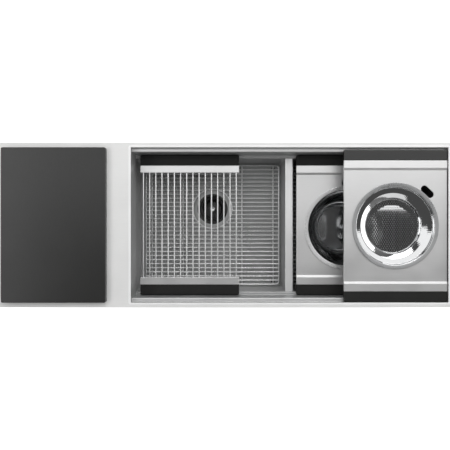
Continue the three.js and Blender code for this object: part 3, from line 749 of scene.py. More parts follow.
def moulded(name, colour, roughness, grain_scale, depth, worn_colour, metallic=0.0):
    """Rubber, plastic or plated metal with a fine skin and rubbed edges."""
    low, high = 0.3, 0.7
    tone_change = 0.15
    spread = 0.06
    material, tree, shader, place = new_material(name, metallic=metallic)
    skin = noise(tree, place, grain_scale, detail=4.0)
    tone = ranged(tree, skin, low, high, 1 - tone_change, 1 + tone_change)
    edge = placed_group(tree, "Edge wear", place, Width=0.8 * MM)
    base = mixed(tree, edge.outputs["Mask"], toned(tree, colour, tone), worn_colour)
    tree.links.new(base, shader.inputs["Base Color"])
    rough = ranged(tree, skin, low, high, roughness - spread, roughness + spread)
    tree.links.new(rough, shader.inputs["Roughness"])
    relief(tree, shader, skin, depth)
    return material


class Finish:
    """A finish: the record's slot it belongs to, the maker of its material, its colour and its values."""

    def __init__(self, slot, maker, colour, **values):
        self.slot = slot
        self.maker = maker
        self.colour = colour
        self.values = values


FINISHES = {
    "satin_steel": Finish("satin_steel", steel, "satin_steel", roughness=0.6, shine=0.0, worn=0.8 * MM),
    "rolled_steel": Finish("satin_steel", steel, "rolled_steel", roughness=0.6, shine=0.0, marks=0.0),
    # Lit and shaded copies of the wall steel: the ledge finish paints light on level faces, and the shade
    # finish paints shade on the upright faces above the upper ledge.
    "ledge_steel": Finish("brushed_steel", steel, "bright_steel", roughness=0.4, shine=0.6),
    "shaded_steel": Finish("brushed_steel", steel, "shaded_steel", roughness=0.5, shine=0.4),
    "wall_steel": Finish("brushed_steel", steel, "brushed_steel", roughness=0.36, shine=0.6),
    "floor_steel": Finish("brushed_steel", steel, "brushed_steel", roughness=0.45, shine=0.5, marks=0.12),
    "wire_steel": Finish("brushed_steel", steel, "bright_steel", roughness=0.3, stretch=ALL_WAYS,
                         shine=0.8, marks=0.0),
    "bar_steel": Finish("brushed_steel", steel, "bright_steel", roughness=0.4, shine=0.85, worn=1 * MM),
    "plate_steel": Finish("brushed_steel", steel, "plate_steel", roughness=0.42, shine=0.8, worn=1 * MM),
    "rim_steel": Finish("polished_steel", steel, "rim_steel", roughness=0.3, stretch=ALL_WAYS,
                        shine=0.9, marks=0.04),
    "polished_steel": Finish("polished_steel", steel, "polished_steel", roughness=0.1, stretch=ALL_WAYS,
                             depth=0.004 * MM, spread=0.02, tone=0.02),
    "mirror_steel": Finish("polished_steel", steel, "polished_steel", roughness=0.04, stretch=ALL_WAYS,
                           depth=0.001 * MM, spread=0.01, tone=0.02, marks=0.04),
    # Painted shade: the drain finish is near-black steel for the dark drains.
    "drain_steel": Finish("polished_steel", steel, "drain_steel", roughness=0.26, stretch=ALL_WAYS,
                          marks=0.05),
    "black_composite": Finish("black_composite", composite, "composite", roughness=0.3),
    "matt_composite": Finish("black_composite", composite, "composite", roughness=0.6, gloss=0.15),
    "board_composite": Finish("black_composite", composite, "composite", roughness=0.34,
                              stretch=FIBRES_ALONG_Y),
    "black_rubber": Finish("black_rubber", moulded, "black_rubber", roughness=0.75, grain_scale=1500,
                           depth=0.04 * MM, worn_colour=(0.03, 0.03, 0.03, 1)),
    "grey_rubber": Finish("grey_rubber", moulded, "grey_rubber", roughness=0.8, grain_scale=500,
                          depth=0.3 * MM, worn_colour=(0.22, 0.22, 0.22, 1)),
    "zinc_steel": Finish("zinc_steel", moulded, "zinc_steel", roughness=0.42, grain_scale=160,
                         depth=0.02 * MM, worn_colour=(0.6, 0.6, 0.58, 1), metallic=1.0),
    "white_plastic": Finish("white_plastic", moulded, "white_plastic", roughness=0.4, grain_scale=900,
                            depth=0.02 * MM, worn_colour=(0.8, 0.8, 0.78, 1)),
}


def finish(kind):
    """A material by the kind of its finish, made when a piece first needs it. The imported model's own
    materials have the plain names."""
    name = "dressed_" + kind
    chosen = FINISHES[kind]
    colours = bpy.context.scene.sink_colours
    found = bpy.data.materials.get(name)
    return found or chosen.maker(name, getattr(colours, chosen.colour), **chosen.values)


# ---- Pieces ----------------------------------------------------------------------------------------------


def ride(piece, kind, body, *nodes):
    """Fastens a piece to its body and hides the CAD nodes that it stands for."""
    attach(piece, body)
    if nodes:
        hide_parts(*nodes)
    return piece


def add_piece(name, bm, kind, body, *nodes, **shading):
    """A piece from a bmesh, in its finish and on its body, in the place of CAD nodes."""
    return ride(piece_from(name, bm, finish(kind), **shading), kind, body, *nodes)


def second_finish(piece, kind, chosen):
    """Gives the faces of a piece that a test picks another finish."""
    piece.data.materials.append(finish(kind))
    for face in piece.data.polygons:
        if chosen(face):
            face.material_index = len(piece.data.materials) - 1


def softened(cad_name, kind, width):
    """A CAD node that stays, with its edges broken by a small bevel and its own material."""
    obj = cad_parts[cad_name]
    obj.modifiers.new("Weld", "WELD").merge_threshold = 0.01 * MM
    bevel = obj.modifiers.new("Broken edges", "BEVEL")
    bevel.width = width
    bevel.segments = 2
    bevel.limit_method = "ANGLE"
    bevel.angle_limit = math.radians(25)
    bevel.harden_normals = True
    obj.data.materials.clear()
    obj.data.materials.append(finish(kind))


def solidified(obj, thickness, levels=0):
    """The same piece with a wall of that thickness under its faces, as a plain mesh."""
    wall = obj.modifiers.new("Wall", "SOLIDIFY")
    wall.thickness = thickness
    wall.offset = -1
    if levels:
        smooth = obj.modifiers.new("Smooth", "SUBSURF")
        smooth.levels = smooth.render_levels = levels
    graph = bpy.context.evaluated_depsgraph_get()
    made = bpy.data.meshes.new_from_object(obj.evaluated_get(graph))
    obj.modifiers.clear()
    obj.data = made
    return obj


def line_mesh(name, lines):
    """A base mesh of open or closed lines of points; a closed one ends on its first point."""
    bm = bmesh.new()
    for line in lines:
        closed = len(line) > 2 and line[0] == line[-1]
        made = [bm.verts.new(point) for point in (line[:-1] if closed else line)]
        for before, after in zip(made, made[1:] + made[:1] if closed else made[1:]):
            bm.edges.new((before, after))
    mesh = bpy.data.meshes.new(name)
    bm.to_mesh(mesh)
    bm.free()
    return mesh


def grown(name, tree, base, sharp=None, **values):
    """The plain mesh object that a tree makes from a base mesh and the values of its named inputs."""
    host = link(bpy.data.objects.new(name, base))
    modifier = host.modifiers.new("Build", "NODES")
    modifier.node_group = tree
    sockets = {item.name: item.identifier for item in tree.interface.items_tree if item.in_out == "INPUT"}
    for label, value in values.items():
        modifier[sockets[label.replace("_", " ")]] = value
    graph = bpy.context.evaluated_depsgraph_get()
    made = bpy.data.meshes.new_from_object(host.evaluated_get(graph))
    host.modifiers.remove(modifier)
    host.data = made
    made.name = name
    if sharp is not None:
        made.shade_smooth()
        made.set_sharp_from_angle(angle=math.radians(sharp))
    return host


def copies_of(name, maker, points, kind, body, *nodes):
    """Copies of a shape that maker builds in a bmesh round the origin, one at each point, as one piece."""
    bm = bmesh.new()
    maker(bm)
    material = finish(kind)
    shape = piece_from(name + "_shape", bm, material)
    base = line_mesh(name, [[point] for point in points])
    made = grown(name, shared_group("Copies at points"), base, sharp=32, Shape=shape, Material=material)
    bpy.data.objects.remove(shape)
    return ride(made, kind, body, *nodes)


def wires(name, lines, radius, kind, body, *nodes):
    """Round wires along lines, as one piece."""
    made = grown(name, shared_group("Round wire"), line_mesh(name, lines), Radius=radius,
                 Sides=bpy.context.scene.sink_sizes.wire_sides, Material=finish(kind))
    return ride(made, kind, body, *nodes)


# ---- Deck and bowls --------------------------------------------------------------------------------------


class Opening:
    """The places that every piece in and round the opening shares."""

    def __init__(self):
        sizes = bpy.context.scene.sink_sizes
        deck = Span("deck_plate")
        self.deck = deck
        self.left = Span("left_end_wall").right
        self.right = Span("right_end_wall").left
        self.top = deck.high
        self.edge = Span("back_wall").back - sizes.sheet
        self.middle = self.edge - sizes.upper_step
        self.inner = self.middle - sizes.lower_step
        self.upper_ledge = self.top - sizes.upper_ledge
        self.lower_ledge = self.top - sizes.lower_ledge
        self.floor = Span("main_bowl_floor").high
        self.under = Span("main_bowl_floor").low
        divider = Span("bowl_divider")
        self.bowls = {"main": (self.left, divider.left), "side": (divider.right, self.right)}


def drain_place(prefix):
    """The drain's centre."""
    body = Span(prefix + "_strainer_body")
    return body.x, body.y


class SINK_OT_deck(bpy.types.Operator):
    """The deck plate with its bright rolled edge round the opening"""

    bl_idname = "sink.deck"
    bl_label = "Deck"

    def execute(self, context):
        sizes = context.scene.sink_sizes
        place = Opening()
        deck = place.deck
        deck_corner = 6 * MM
        mouth_corner = 1.2 * MM
        broken_edge = 0.7 * MM
        outer = rectangle_path(deck.left, deck.right, deck.front, deck.back, deck_corner)
        mouth = rectangle_path(place.left, place.right, -place.edge, place.edge, mouth_corner)
        bm = bmesh.new()
        add_plate(bm, [outer, as_hole(mouth)], deck.low, deck.high, broken_edge)
        add_piece("deck", bm, "satin_steel", "root", "deck_plate", flat=True)

        crown_steps = 8
        fullness = 0.6
        overhang = 0.3 * MM
        tip_drop = 0.2 * MM
        section = [(-overhang, place.top - 2.6 * MM), (sizes.roll_width, place.top - 0.4 * MM)]
        for i in range(crown_steps + 1):
            share = i / crown_steps
            rise = sizes.roll_height * math.sin(math.pi * share) ** fullness
            out = sizes.roll_width * (1 - share) - overhang * share
            section.append((out, place.top + rise - tip_drop * share))
        bm = bmesh.new()
        add_swept(bm, mouth, section)
        add_piece("rolled_edge", bm, "rolled_steel", "root", sharp=50)
        return {"FINISHED"}


LEVEL_NORMAL = 0.9
UPRIGHT_NORMAL = 0.1


def is_level(face):
    """Whether a face looks up."""
    return face.normal.z > LEVEL_NORMAL


def level_above(height):
    """A test for the level faces of a piece over a height."""

    def chosen(face):
        return face.center.z > height and is_level(face)

    return chosen


def upright_above(height):
    """A test for the upright faces of a piece over a height."""

    def chosen(face):
        return face.center.z > height and abs(face.normal.z) < UPRIGHT_NORMAL

    return chosen


def add_corner_weld(bm, x, y, side_x, side_y, radius, low, high):
    """A concave weld that fills an upright corner, tapering away at its top."""
    tip = 0.6 * MM
    root = -0.3 * MM
    curve_steps = 5
    rings = []
    for z, reach in ((low, radius), (high - radius, radius), (high, tip)):
        back = [(root, reach), (root, root), (reach, root)]
        curve = arc(reach, reach, reach, -90, -180, curve_steps)
        rings.append([(x + side_x * u, y + side_y * v, z) for u, v in back + curve])
    first, *_, last = add_loops(bm, rings)
    bm.faces.new(first)
    bm.faces.new(last)


def add_bowl_floor(bm, place, left, right, drain_x, drain_y, sizes):
    """A bowl's bottom: it turns up into the walls, and four creases fall from its corners to the drain."""
    turn_up = 7 * MM
    turn_up_steps = 5
    tuck = 0.05 * MM
    arc_steps = 4
    border_step = 14 * MM
    border = []
    corners = rectangle_path(left + turn_up, right - turn_up, -place.inner + turn_up, place.inner - turn_up,
                             sizes.corner - turn_up, arc_steps)
    for i, point in enumerate(corners):
        border.append((*point, 1.0))
        after = corners[(i + 1) % len(corners)]
        gap = math.hypot(after[0] - point[0], after[1] - point[1])
        pieces = max(round(gap / border_step), 1) if i % (arc_steps + 1) == arc_steps else 1
        for j in range(1, pieces):
            share = j / pieces
            border.append((point[0] + (after[0] - point[0]) * share, point[1] + (after[1] - point[1]) * share,
                           point[2], point[3], 0.0))

    ring_count = 12
    crowding = 1.3
    clear = 20 * MM
    inner_fade = 40 * MM
    outer_fade = 25 * MM
    rings = []
    for i in range(ring_count + 1):
        share = (i / ring_count) ** crowding
        ring = []
        for x, y, nx, ny, crease in border:
            away = Vector((x - drain_x, y - drain_y))
            start = away.normalized() * sizes.drain_hole
            here = start.lerp(away, share)
            from_drain = (here.length - sizes.drain_hole - clear) / inner_fade
            to_border = (away - here).length / outer_fade
            depth = sizes.crease * crease * max(min(from_drain, to_border, 1), 0)
            ring.append((drain_x + here.x, drain_y + here.y, place.floor - depth))
        rings.append(ring)
    for i in range(1, turn_up_steps + 1):
        turn = math.pi / 2 * i / turn_up_steps
        out = turn_up * math.sin(turn) - tuck
        rise = turn_up * (1 - math.cos(turn))
        rings.append([(x + nx * out, y + ny * out, place.floor + rise) for x, y, nx, ny, crease in border])
    add_loops(bm, rings)


def fold_wall(name, side, place, sizes):
    """A back or front wall: one sheet folded into an upper and a lower ledge."""
    half = sizes.sheet / 2
    bend = sizes.bend + half
    line = filleted([
        (side * (place.edge + half), Span(name).high),
        (side * (place.edge + half), place.upper_ledge - half, bend),
        (side * (place.middle + half), place.upper_ledge - half, bend),
        (side * (place.middle + half), place.lower_ledge - half, bend),
        (side * (place.inner + half), place.lower_ledge - half, bend),
        (side * (place.inner + half), place.under),
    ], closed=False)
    wall = Span(name)
    bm = bmesh.new()
    add_run(bm, thickened(line, sizes.sheet), "X", wall.left, wall.right)
    folded = add_piece("folded_" + name, bm, "wall_steel", "root", name, flat=True)
    # Painted light on the ledges' level faces and painted shade on the upright faces above the upper ledge,
    # both on the one folded sheet of wall steel.
    second_finish(folded, "ledge_steel", level_above(place.lower_ledge + 1 * MM))
    second_finish(folded, "shaded_steel", upright_above(place.upper_ledge + 0.5 * MM))


class SINK_OT_bowls(bpy.types.Operator):
    """The folded walls, the divider, the floors with their creases and the welded corners"""

    bl_idname = "sink.bowls"
    bl_label = "Bowls"

    def execute(self, context):
        sizes = context.scene.sink_sizes
        place = Opening()
        fold_wall("back_wall", 1, place, sizes)
        fold_wall("front_wall", -1, place, sizes)
        for name in ("left_end_wall", "right_end_wall"):
            softened(name, "wall_steel", 0.3 * MM)

        half = sizes.sheet / 2
        crest = 3.6 * MM
        divider = Span("bowl_divider")
        line = filleted([
            (divider.left + half, divider.low),
            (divider.left + half, divider.high - half, crest),
            (divider.right - half, divider.high - half, crest),
            (divider.right - half, divider.low),
        ], steps=6, closed=False)
        bm = bmesh.new()
        add_run(bm, thickened(line, sizes.sheet), "Y", divider.front, divider.back)
        made = add_piece("divider", bm, "wall_steel", "root", "bowl_divider", flat=True)
        # Painted light: the divider's level top gets the lighter copy of the wall steel.
        second_finish(made, "ledge_steel", is_level)

        floor_sheet = 1.3 * MM
        weld_low = place.floor + 0.2 * MM
        weld_high = divider.high - 1.5 * MM
        for prefix, (left, right) in place.bowls.items():
            bm = bmesh.new()
            add_bowl_floor(bm, place, left, right, *drain_place(prefix), sizes)
            floor = piece_from(prefix + "_floor", bm, finish("floor_steel"), sharp=60)
            ride(solidified(floor, floor_sheet), "floor_steel", "root", prefix + "_bowl_floor")
            bm = bmesh.new()
            for x, side_x in ((left, 1), (right, -1)):
                for y, side_y in ((-place.inner, 1), (place.inner, -1)):
                    add_corner_weld(bm, x, y, side_x, side_y, sizes.corner, weld_low, weld_high)
            add_piece(prefix + "_corner_welds", bm, "wall_steel", "root", sharp=50)
        return {"FINISHED"}


# ---- Bottom grids ----------------------------------------------------------------------------------------


def grid_lines(grid, ring_x, ring_y, sizes):
    """Border, cross wires and drain ring of a bottom grid, as lines along the middle of the wire."""
    half = sizes.wire / 2
    z = grid.high - half
    corner = 14 * MM - half
    least_gap = 14 * MM
    left, right = grid.left + half, grid.right - half
    front, back = grid.front + half, grid.back - half
    loop = [(x, y, z) for x, y, *_ in rectangle_path(left, right, front, back, corner, steps=8)]
    ring = [(x, y, z) for x, y, *_ in circle_path(ring_x, ring_y, sizes.grid_ring, count=64)]
    lines = [loop + loop[:1], ring + ring[:1]]
    gaps = math.floor((back - front) / least_gap)
    for i in range(1, gaps):
        y = front + (back - front) * i / gaps
        inset = max(corner - min(y - front, back - y), 0)
        reach = corner - math.sqrt(max(corner ** 2 - inset ** 2, 0)) if inset else 0
        across = sizes.grid_ring ** 2 - (y - ring_y) ** 2
        if across > 0:
            cut = math.sqrt(across)
            lines.append([(left + reach, y, z), (ring_x - cut, y, z)])
            lines.append([(ring_x + cut, y, z), (right - reach, y, z)])
        else:
            lines.append([(left + reach, y, z), (right - reach, y, z)])
    return lines


def add_foot(bm):
    """A rubber foot round a leg, standing on z = 0, with a rounded sole and a bead round its top."""
    profile = filleted([
        (0, 0),
        (6.4 * MM, 0, 1.2 * MM),
        (6.0 * MM, 6.2 * MM, 0.4 * MM),
        (6.5 * MM, 7.2 * MM, 0.4 * MM),
        (6.5 * MM, 9.8 * MM, 1.2 * MM),
        (3.0 * MM, 10 * MM, 0.4 * MM),
        (2.6 * MM, 8.6 * MM),
        (0, 8.6 * MM),
    ], closed=False)
    add_turned(bm, profile, 0, 0, 24)


class SINK_OT_bottom_grids(bpy.types.Operator):
    """The two welded wire grids with their rubber feet"""

    bl_idname = "sink.bottom_grids"
    bl_label = "Bottom grids"

    def execute(self, context):
        sizes = context.scene.sink_sizes
        half = sizes.wire / 2
        inner_runner = 104 * MM
        weld = 0.1 * MM
        setback = 0.6 * MM
        leg_low = 4.9 * MM
        for prefix in ("main", "side"):
            body = prefix + "_grid"
            grid = Span(body + "_wires")
            ring_x, ring_y = drain_place(prefix)
            lines = grid_lines(grid, ring_x, ring_y, sizes)
            foot_nodes = [f"{body}_foot_{i}" for i in (1, 2, 3, 4)]
            feet = [Span(name) for name in foot_nodes]
            runners = sorted({round(foot.x, 5) for foot in feet})
            if prefix == "main":
                runners += [ring_x - inner_runner, ring_x + inner_runner]
            z = grid.high - 1.5 * sizes.wire - weld
            start = grid.front + half + setback
            end = grid.back - half - setback
            lines += [[(x, start, z), (x, end, z)] for x in runners]
            lines += [[(foot.x, foot.y, foot.low + leg_low), (foot.x, foot.y, z)] for foot in feet]
            wires(body + "_wire", lines, half, "wire_steel", body, body + "_wires")
            soles = [(foot.x, foot.y, foot.low) for foot in feet]
            copies_of(body + "_feet", add_foot, soles, "black_rubber", body, *foot_nodes)
        return {"FINISHED"}


# ---- Drains ----------------------------------------------------------------------------------------------


def in_metres(profile, z):
    """A profile in millimetres above some height, as (radius, z[, fillet]) in metres."""
    return [(point[0] * MM, z + point[1] * MM, *(value * MM for value in point[2:])) for point in profile]


def add_pierced_skin(bm, profile, x, y, sides, pierced):
    """A thin turned skin where every second quad of the pierced rows is left open."""
    turns = [2 * math.pi * i / sides for i in range(sides)]
    rings = [[bm.verts.new((x + radius * math.cos(turn), y + radius * math.sin(turn), z)) for turn in turns]
             for radius, z in profile]
    for row, (upper, lower) in enumerate(zip(rings, rings[1:])):
        for i in range(sides):
            if row in pierced and (i + pierced.index(row)) % 2 == 0:
                continue
            after = (i + 1) % sides
            bm.faces.new((upper[i], lower[i], lower[after], upper[after]))


def lobed(outer, depth, count):
    """A wave that leaves a ring's inner side round and cuts its outer side into lobes."""
    sharpness = 3.0
    rounded_part = 2.2 * depth

    def reach(radius, z, turn):
        if radius < outer - rounded_part:
            return radius
        lobe = 0.5 + 0.5 * math.tanh(sharpness * math.cos(count * turn)) / math.tanh(sharpness)
        return radius - depth * (1 - lobe)

    return reach


# Outlines in millimetres: the radius, the height over the bowl's floor and, on a rounded point, its radius.
THREAD = [(44.4 if i % 2 else 45.0, -23 + 1.1 * i) for i in range(1, 10)]
STRAINER_BODY = [
    (19, -69.8), (21.8, -69.8), (21.8, -41.8, 0.8), (41.8, -41.8, 4), (45, -26), *THREAD, (45, 0.3),
    (57, 0.3), (56.9, 0.8, 0.3), (52, 1.6, 4), (45, 1.6, 1.2), (43, -2), (40, -40, 3), (19, -40, 1.5),
]
BASKET_SKIN = [
    (41.5, -5.3), (39.5, -5.05), (37.2, -5.1), (36.4, -6.4), (36.0, -9),
    (35.6, -12.4), (35.2, -15.8), (34.8, -19.2), (34.4, -22.6), (34.0, -26), (33.5, -29.4),
    (32.6, -32.6), (30.4, -34.3), (27, -34.5), (23.6, -34.5), (20.2, -34.5), (16.8, -34.5), (13.4, -34.5),
    (10, -34.5), (6.5, -34.3), (3.8, -34),
]
BASKET_OPEN_ROWS = (4, 6, 8, 13, 15)
BASKET_KNOB = [
    (0, -47.6), (3.6, -47.6, 0.6), (3.6, -38), (4, -33), (3.6, -6), (4.6, -1.2, 2), (8.4, 0.6, 1.2),
    (9, 2.4, 0.8), (7.4, 4.5, 1.6), (2.5, 3.9, 1), (0, 3.8),
]
BASKET_SEAL = [
    (4.3, -39.5, 0.4), (18, -39.7), (28, -39.2, 0.5), (28, -37.6, 0.6), (20, -35.8, 1.2), (4.3, -35.8, 0.4),
]
DRAIN_GASKET = [(45.3, -4.8, 0.4), (55.7, -4.8, 0.8), (55.7, -1.9, 0.8), (45.3, -1.9, 0.4)]
LOCK_NUT = [(45.3, -12, 0.5), (54.2, -12, 0.8), (54.2, -5.2, 0.8), (45.3, -5.2, 0.5)]
COUPLING_NUT = [
    (19.3, -75, 0.4), (27.2, -75, 1.2), (28, -72.5), (28, -57), (27, -55.2, 0.8), (22.1, -55.2), (22.1, -72),
    (19.3, -72),
]
TAILPIECE = [
    (17.5, -111.1), (18.4, -111.1, 0.4), (19, -110.2), (19, -72.1, 0.8), (21.7, -72.1, 0.4),
    (21.7, -70.2, 0.4), (17.5, -70.2),
]


class SINK_OT_drains(bpy.types.Operator):
    """Strainer bodies, pierced baskets with their knobs and seals, gaskets, nuts and tailpieces"""

    bl_idname = "sink.drains"
    bl_label = "Drains"

    def execute(self, context):
        floor = Opening().floor
        basket_sides = 48
        basket_sheet = 1.1 * MM
        for prefix in ("main", "side"):
            x, y = drain_place(prefix)
            strainer = prefix + "_strainer"
            # The strainers, baskets and tailpieces take the near-black drain steel, painted shade for the
            # dark drains.
            rings = (
                ("strainer_body", STRAINER_BODY, "drain_steel", "root", 96, None),
                ("basket_seal", BASKET_SEAL, "black_rubber", strainer, 64, None),
                ("drain_gasket", DRAIN_GASKET, "black_rubber", "root", 64, None),
                ("lock_nut", LOCK_NUT, "zinc_steel", "root", 192, lobed(54.2 * MM, 3 * MM, 8)),
                ("coupling_nut", COUPLING_NUT, "white_plastic", "root", 192, lobed(28 * MM, 1.6 * MM, 14)),
                ("tailpiece", TAILPIECE, "drain_steel", "root", 64, None),
            )
            for name, profile, kind, body, sides, wave in rings:
                bm = bmesh.new()
                add_turned(bm, filleted(in_metres(profile, floor)), x, y, sides, closed=True, wave=wave)
                add_piece(f"{prefix}_{name}_ring", bm, kind, body, f"{prefix}_{name}")

            bm = bmesh.new()
            add_pierced_skin(bm, in_metres(BASKET_SKIN, floor), x, y, basket_sides, BASKET_OPEN_ROWS)
            basket = piece_from(prefix + "_basket_cup", bm, finish("drain_steel"), sharp=70,
                                recalculate=False)
            ride(solidified(basket, basket_sheet, levels=1), "drain_steel", strainer, strainer + "_basket")
            bm = bmesh.new()
            add_turned(bm, filleted(in_metres(BASKET_KNOB, floor), closed=False), x, y, basket_sides)
            add_piece(prefix + "_basket_knob", bm, "polished_steel", strainer)
        return {"FINISHED"}


# ---- Accessories on the ledges ---------------------------------------------------------------------------


def handle_path(span, outward, corner, long_edge, end_edge, inner_edge):
    """A handle seen from above, its outer side at the back if outward is 1 or at the front if it is -1. Each
    point carries the radius of its edges, which are widest along the outer side."""
    inner, outer = (span.front, span.back) if outward > 0 else (-span.back, -span.front)
    tight = 0.8 * MM
    tight_steps = 2
    steps = 6
    quarter = corner_path(span.right - tight, inner + tight, tight, -90, tight_steps)
    path = [(*point, inner_edge) for point in quarter]
    for i, point in enumerate(corner_path(span.right - corner, outer - corner, corner, 0, steps)):
        path.append((*point, end_edge + (long_edge - end_edge) * i / steps))
    for i, point in enumerate(corner_path(span.left + corner, outer - corner, corner, 90, steps)):
        path.append((*point, long_edge + (end_edge - long_edge) * i / steps))
    quarter = corner_path(span.left + tight, inner + tight, tight, 180, tight_steps)
    path += [(*point, inner_edge) for point in quarter]
    return [(x, outward * y, nx, outward * ny, edge) for x, y, nx, ny, edge in path][::outward]


def make_handles(prefix, body, kind):
    """The back and front handles of an accessory."""
    sizes = bpy.context.scene.sink_sizes
    end_edge = 1.2 * MM
    inner_edge = 0.5 * MM
    for side, outward in (("back", 1), ("front", -1)):
        cad_name = f"{prefix}_{side}_handle"
        span = Span(cad_name)
        path = handle_path(span, outward, sizes.handle_corner, sizes.handle_round, end_edge, inner_edge)
        bm = bmesh.new()
        add_plate(bm, [path], span.low, span.high, 0, steps=5)
        add_piece(f"{prefix}_{side}_grip", bm, kind, body, cad_name, sharp=40, flat=True)


class Bars:
    """Where the bars of an accessory lie, from its plate or frame and its handles."""

    def __init__(self, prefix, main):
        sizes = bpy.context.scene.sink_sizes
        span = Span(main)
        seam = 0.3 * MM
        self.left, self.right, self.top = span.left, span.right, span.high
        self.x = span.x
        self.outer = (Span(prefix + "_front_handle").back + seam, Span(prefix + "_back_handle").front - seam)
        self.inner = (self.outer[0] + sizes.bar_width, self.outer[1] - sizes.bar_width)


class SINK_OT_drain_rack(bpy.types.Operator):
    """The drain rack: two bars, a row of rods and two handles"""

    bl_idname = "sink.drain_rack"
    bl_label = "Drain rack"

    def execute(self, context):
        sizes = context.scene.sink_sizes
        rack = Bars("rack", "rack_frame")
        bar_corner = 1.2 * MM
        bar_edge = 0.9 * MM
        bm = bmesh.new()
        for front, back in ((rack.outer[0], rack.inner[0]), (rack.inner[1], rack.outer[1])):
            path = rectangle_path(rack.left, rack.right, front, back, bar_corner, steps=3)
            add_plate(bm, [path], rack.top - sizes.bar_height, rack.top, bar_edge)
        add_piece("rack_bars", bm, "bar_steel", "drain_rack", "rack_frame", flat=True)

        rod_count = 16
        grip = 4 * MM
        z = rack.top - sizes.rod_drop
        lines = []
        for i in range(rod_count):
            x = rack.x + (i - (rod_count - 1) / 2) * sizes.rod_pitch
            lines.append([(x, rack.inner[0] - grip, z), (x, rack.inner[1] + grip, z)])
        wires("rack_rods", lines, sizes.rod / 2, "wire_steel", "drain_rack")
        make_handles("rack", "drain_rack", "matt_composite")
        return {"FINISHED"}


def add_platform_sheet(shape, body, hole, slot_angle, low, high):
    """The plate of a platform, with the hole that carries its vessel and a finger slot beside it."""
    sizes = bpy.context.scene.sink_sizes
    flush = 0.02 * MM
    end_edge = 0.9 * MM
    hole_edge = 0.8 * MM
    corner = 0.5 * MM
    front, back = shape.inner[0] + sizes.slope, shape.inner[1] - sizes.slope
    edge = []
    for x, y, nx, ny in rectangle_path(shape.left, shape.right, front, back, corner, steps=2):
        edge.append((x, y, nx, ny, end_edge if abs(nx) > LEVEL_NORMAL else flush))
    rim = as_hole(circle_path(hole.x, hole.y, sizes.plate_hole, count=128))
    angle = math.radians(slot_angle)
    reach = sizes.plate_hole + sizes.slot_offset
    slot = as_hole(slot_path(hole.x + reach * math.cos(angle), hole.y + reach * math.sin(angle),
                             sizes.slot_length, sizes.slot_width, angle - math.pi / 2))
    bm = bmesh.new()
    add_plate(bm, [edge, rim, slot], low, high, hole_edge)
    add_piece(body + "_sheet", bm, "plate_steel", body, body + "_plate", flat=True)


def make_platform(prefix, vessel, slot_angle, handles):
    """A platform: its pierced plate, raised bars with their slopes, turned down sides and handles."""
    sizes = bpy.context.scene.sink_sizes
    body = prefix + "_platform"
    shape = Bars(body, body + "_plate")
    plate_top = shape.top - sizes.plate_drop
    plate_low = plate_top - sizes.plate
    add_platform_sheet(shape, body, Span(vessel), slot_angle, plate_low, plate_top)

    fold = 0.8 * MM
    soft_fold = 1.5 * MM
    bar_low = shape.top - sizes.bar_height
    bm = bmesh.new()
    for i, side in enumerate((-1, 1)):
        outer, inner = shape.outer[i], shape.inner[i]
        end = inner - side * sizes.slope
        section = filleted([
            (end, plate_low),
            (inner, plate_low, 0.6 * MM),
            (inner, bar_low, fold),
            (outer, bar_low, fold),
            (outer, shape.top, fold),
            (inner, shape.top, soft_fold),
            (end + side * 0.6 * MM, plate_top, soft_fold),
            (end, plate_top),
        ])
        add_run(bm, section, "X", shape.left, shape.right)
    flange_low = plate_top - sizes.flange
    flange_edge = 0.7 * MM
    for x, side in ((shape.left, 1), (shape.right, -1)):
        section = filleted([
            (x, flange_low, flange_edge),
            (x + side * sizes.plate, flange_low, flange_edge),
            (x + side * sizes.plate, plate_low + 0.5 * MM),
            (x, plate_low + 0.9 * MM),
        ])
        add_run(bm, section, "Y", shape.inner[0], shape.inner[1])
    add_piece(body + "_bars", bm, "bar_steel", body, flat=True)
    make_handles(body, body, handles)


class SINK_OT_platforms(bpy.types.Operator):
    """The lower platform, whose handles have gone matt with the wet, and the upper platform"""

    bl_idname = "sink.platforms"
    bl_label = "Platforms"

    def execute(self, context):
        make_platform("lower", "mixing_bowl", slot_angle=86, handles="matt_composite")
        make_platform("upper", "colander", slot_angle=47, handles="black_composite")
        return {"FINISHED"}


# ---- Mixing bowl, colander and board ---------------------------------------------------------------------


def bowed(start, end, bulge, steps):
    """Points from start to end, without start, bent outward in the middle."""
    first, last = Vector(start), Vector(end)
    along = (last - first).normalized()
    outward = Vector((along.y, -along.x))
    made = []
    for i in range(1, steps + 1):
        share = i / steps
        made.append(tuple(first.lerp(last, share) + outward * bulge * math.sin(math.pi * share)))
    return made


def neck_radius(sizes):
    """The middle of a vessel's wall where it passes through the hole that carries it."""
    return sizes.plate_hole - 1 * MM - sizes.vessel_wall / 2


def rim_line(neck, rim, z):
    """The middle line of a vessel's rim: up the neck and out along a band that rises to the bead."""
    line = filleted([
        (neck, z - 4 * MM),
        (neck, z + 1.2 * MM, 2.6 * MM),
        (rim - 1 * MM, z + 1.9 * MM),
    ], steps=7, closed=False)
    return line[1:]


def outside(x, y, radius):
    """A test for the faces of a piece beyond a radius round a point."""

    def chosen(face):
        return math.hypot(face.center.x - x, face.center.y - y) > radius

    return chosen


def bead_section(radius, z, wire):
    """The round section of a wired bead, of twelve points."""
    return arc(radius, z, wire, 0, 330, 11)


def add_vessel(bm, line, span, z, sides, closed, wave=None):
    """The wall of a vessel along its middle line, with a wired bead round its rim."""
    wall = bpy.context.scene.sink_sizes.vessel_wall
    add_turned(bm, thickened(line, wall), span.x, span.y, sides, closed=closed, wave=wave)
    bead = 1 * MM
    section = bead_section(span.length / 2 - bead, z + 1.45 * MM, bead)
    add_turned(bm, section, span.x, span.y, sides, closed=True)


def add_shell(name, bm, kind, rim_kind, span, neck):
    """The shell of a vessel, its rim in a finish of its own."""
    shell = add_piece(name + "_shell", bm, kind, name, name, sharp=60)
    second_finish(shell, rim_kind, outside(span.x, span.y, neck + 1.5 * MM))


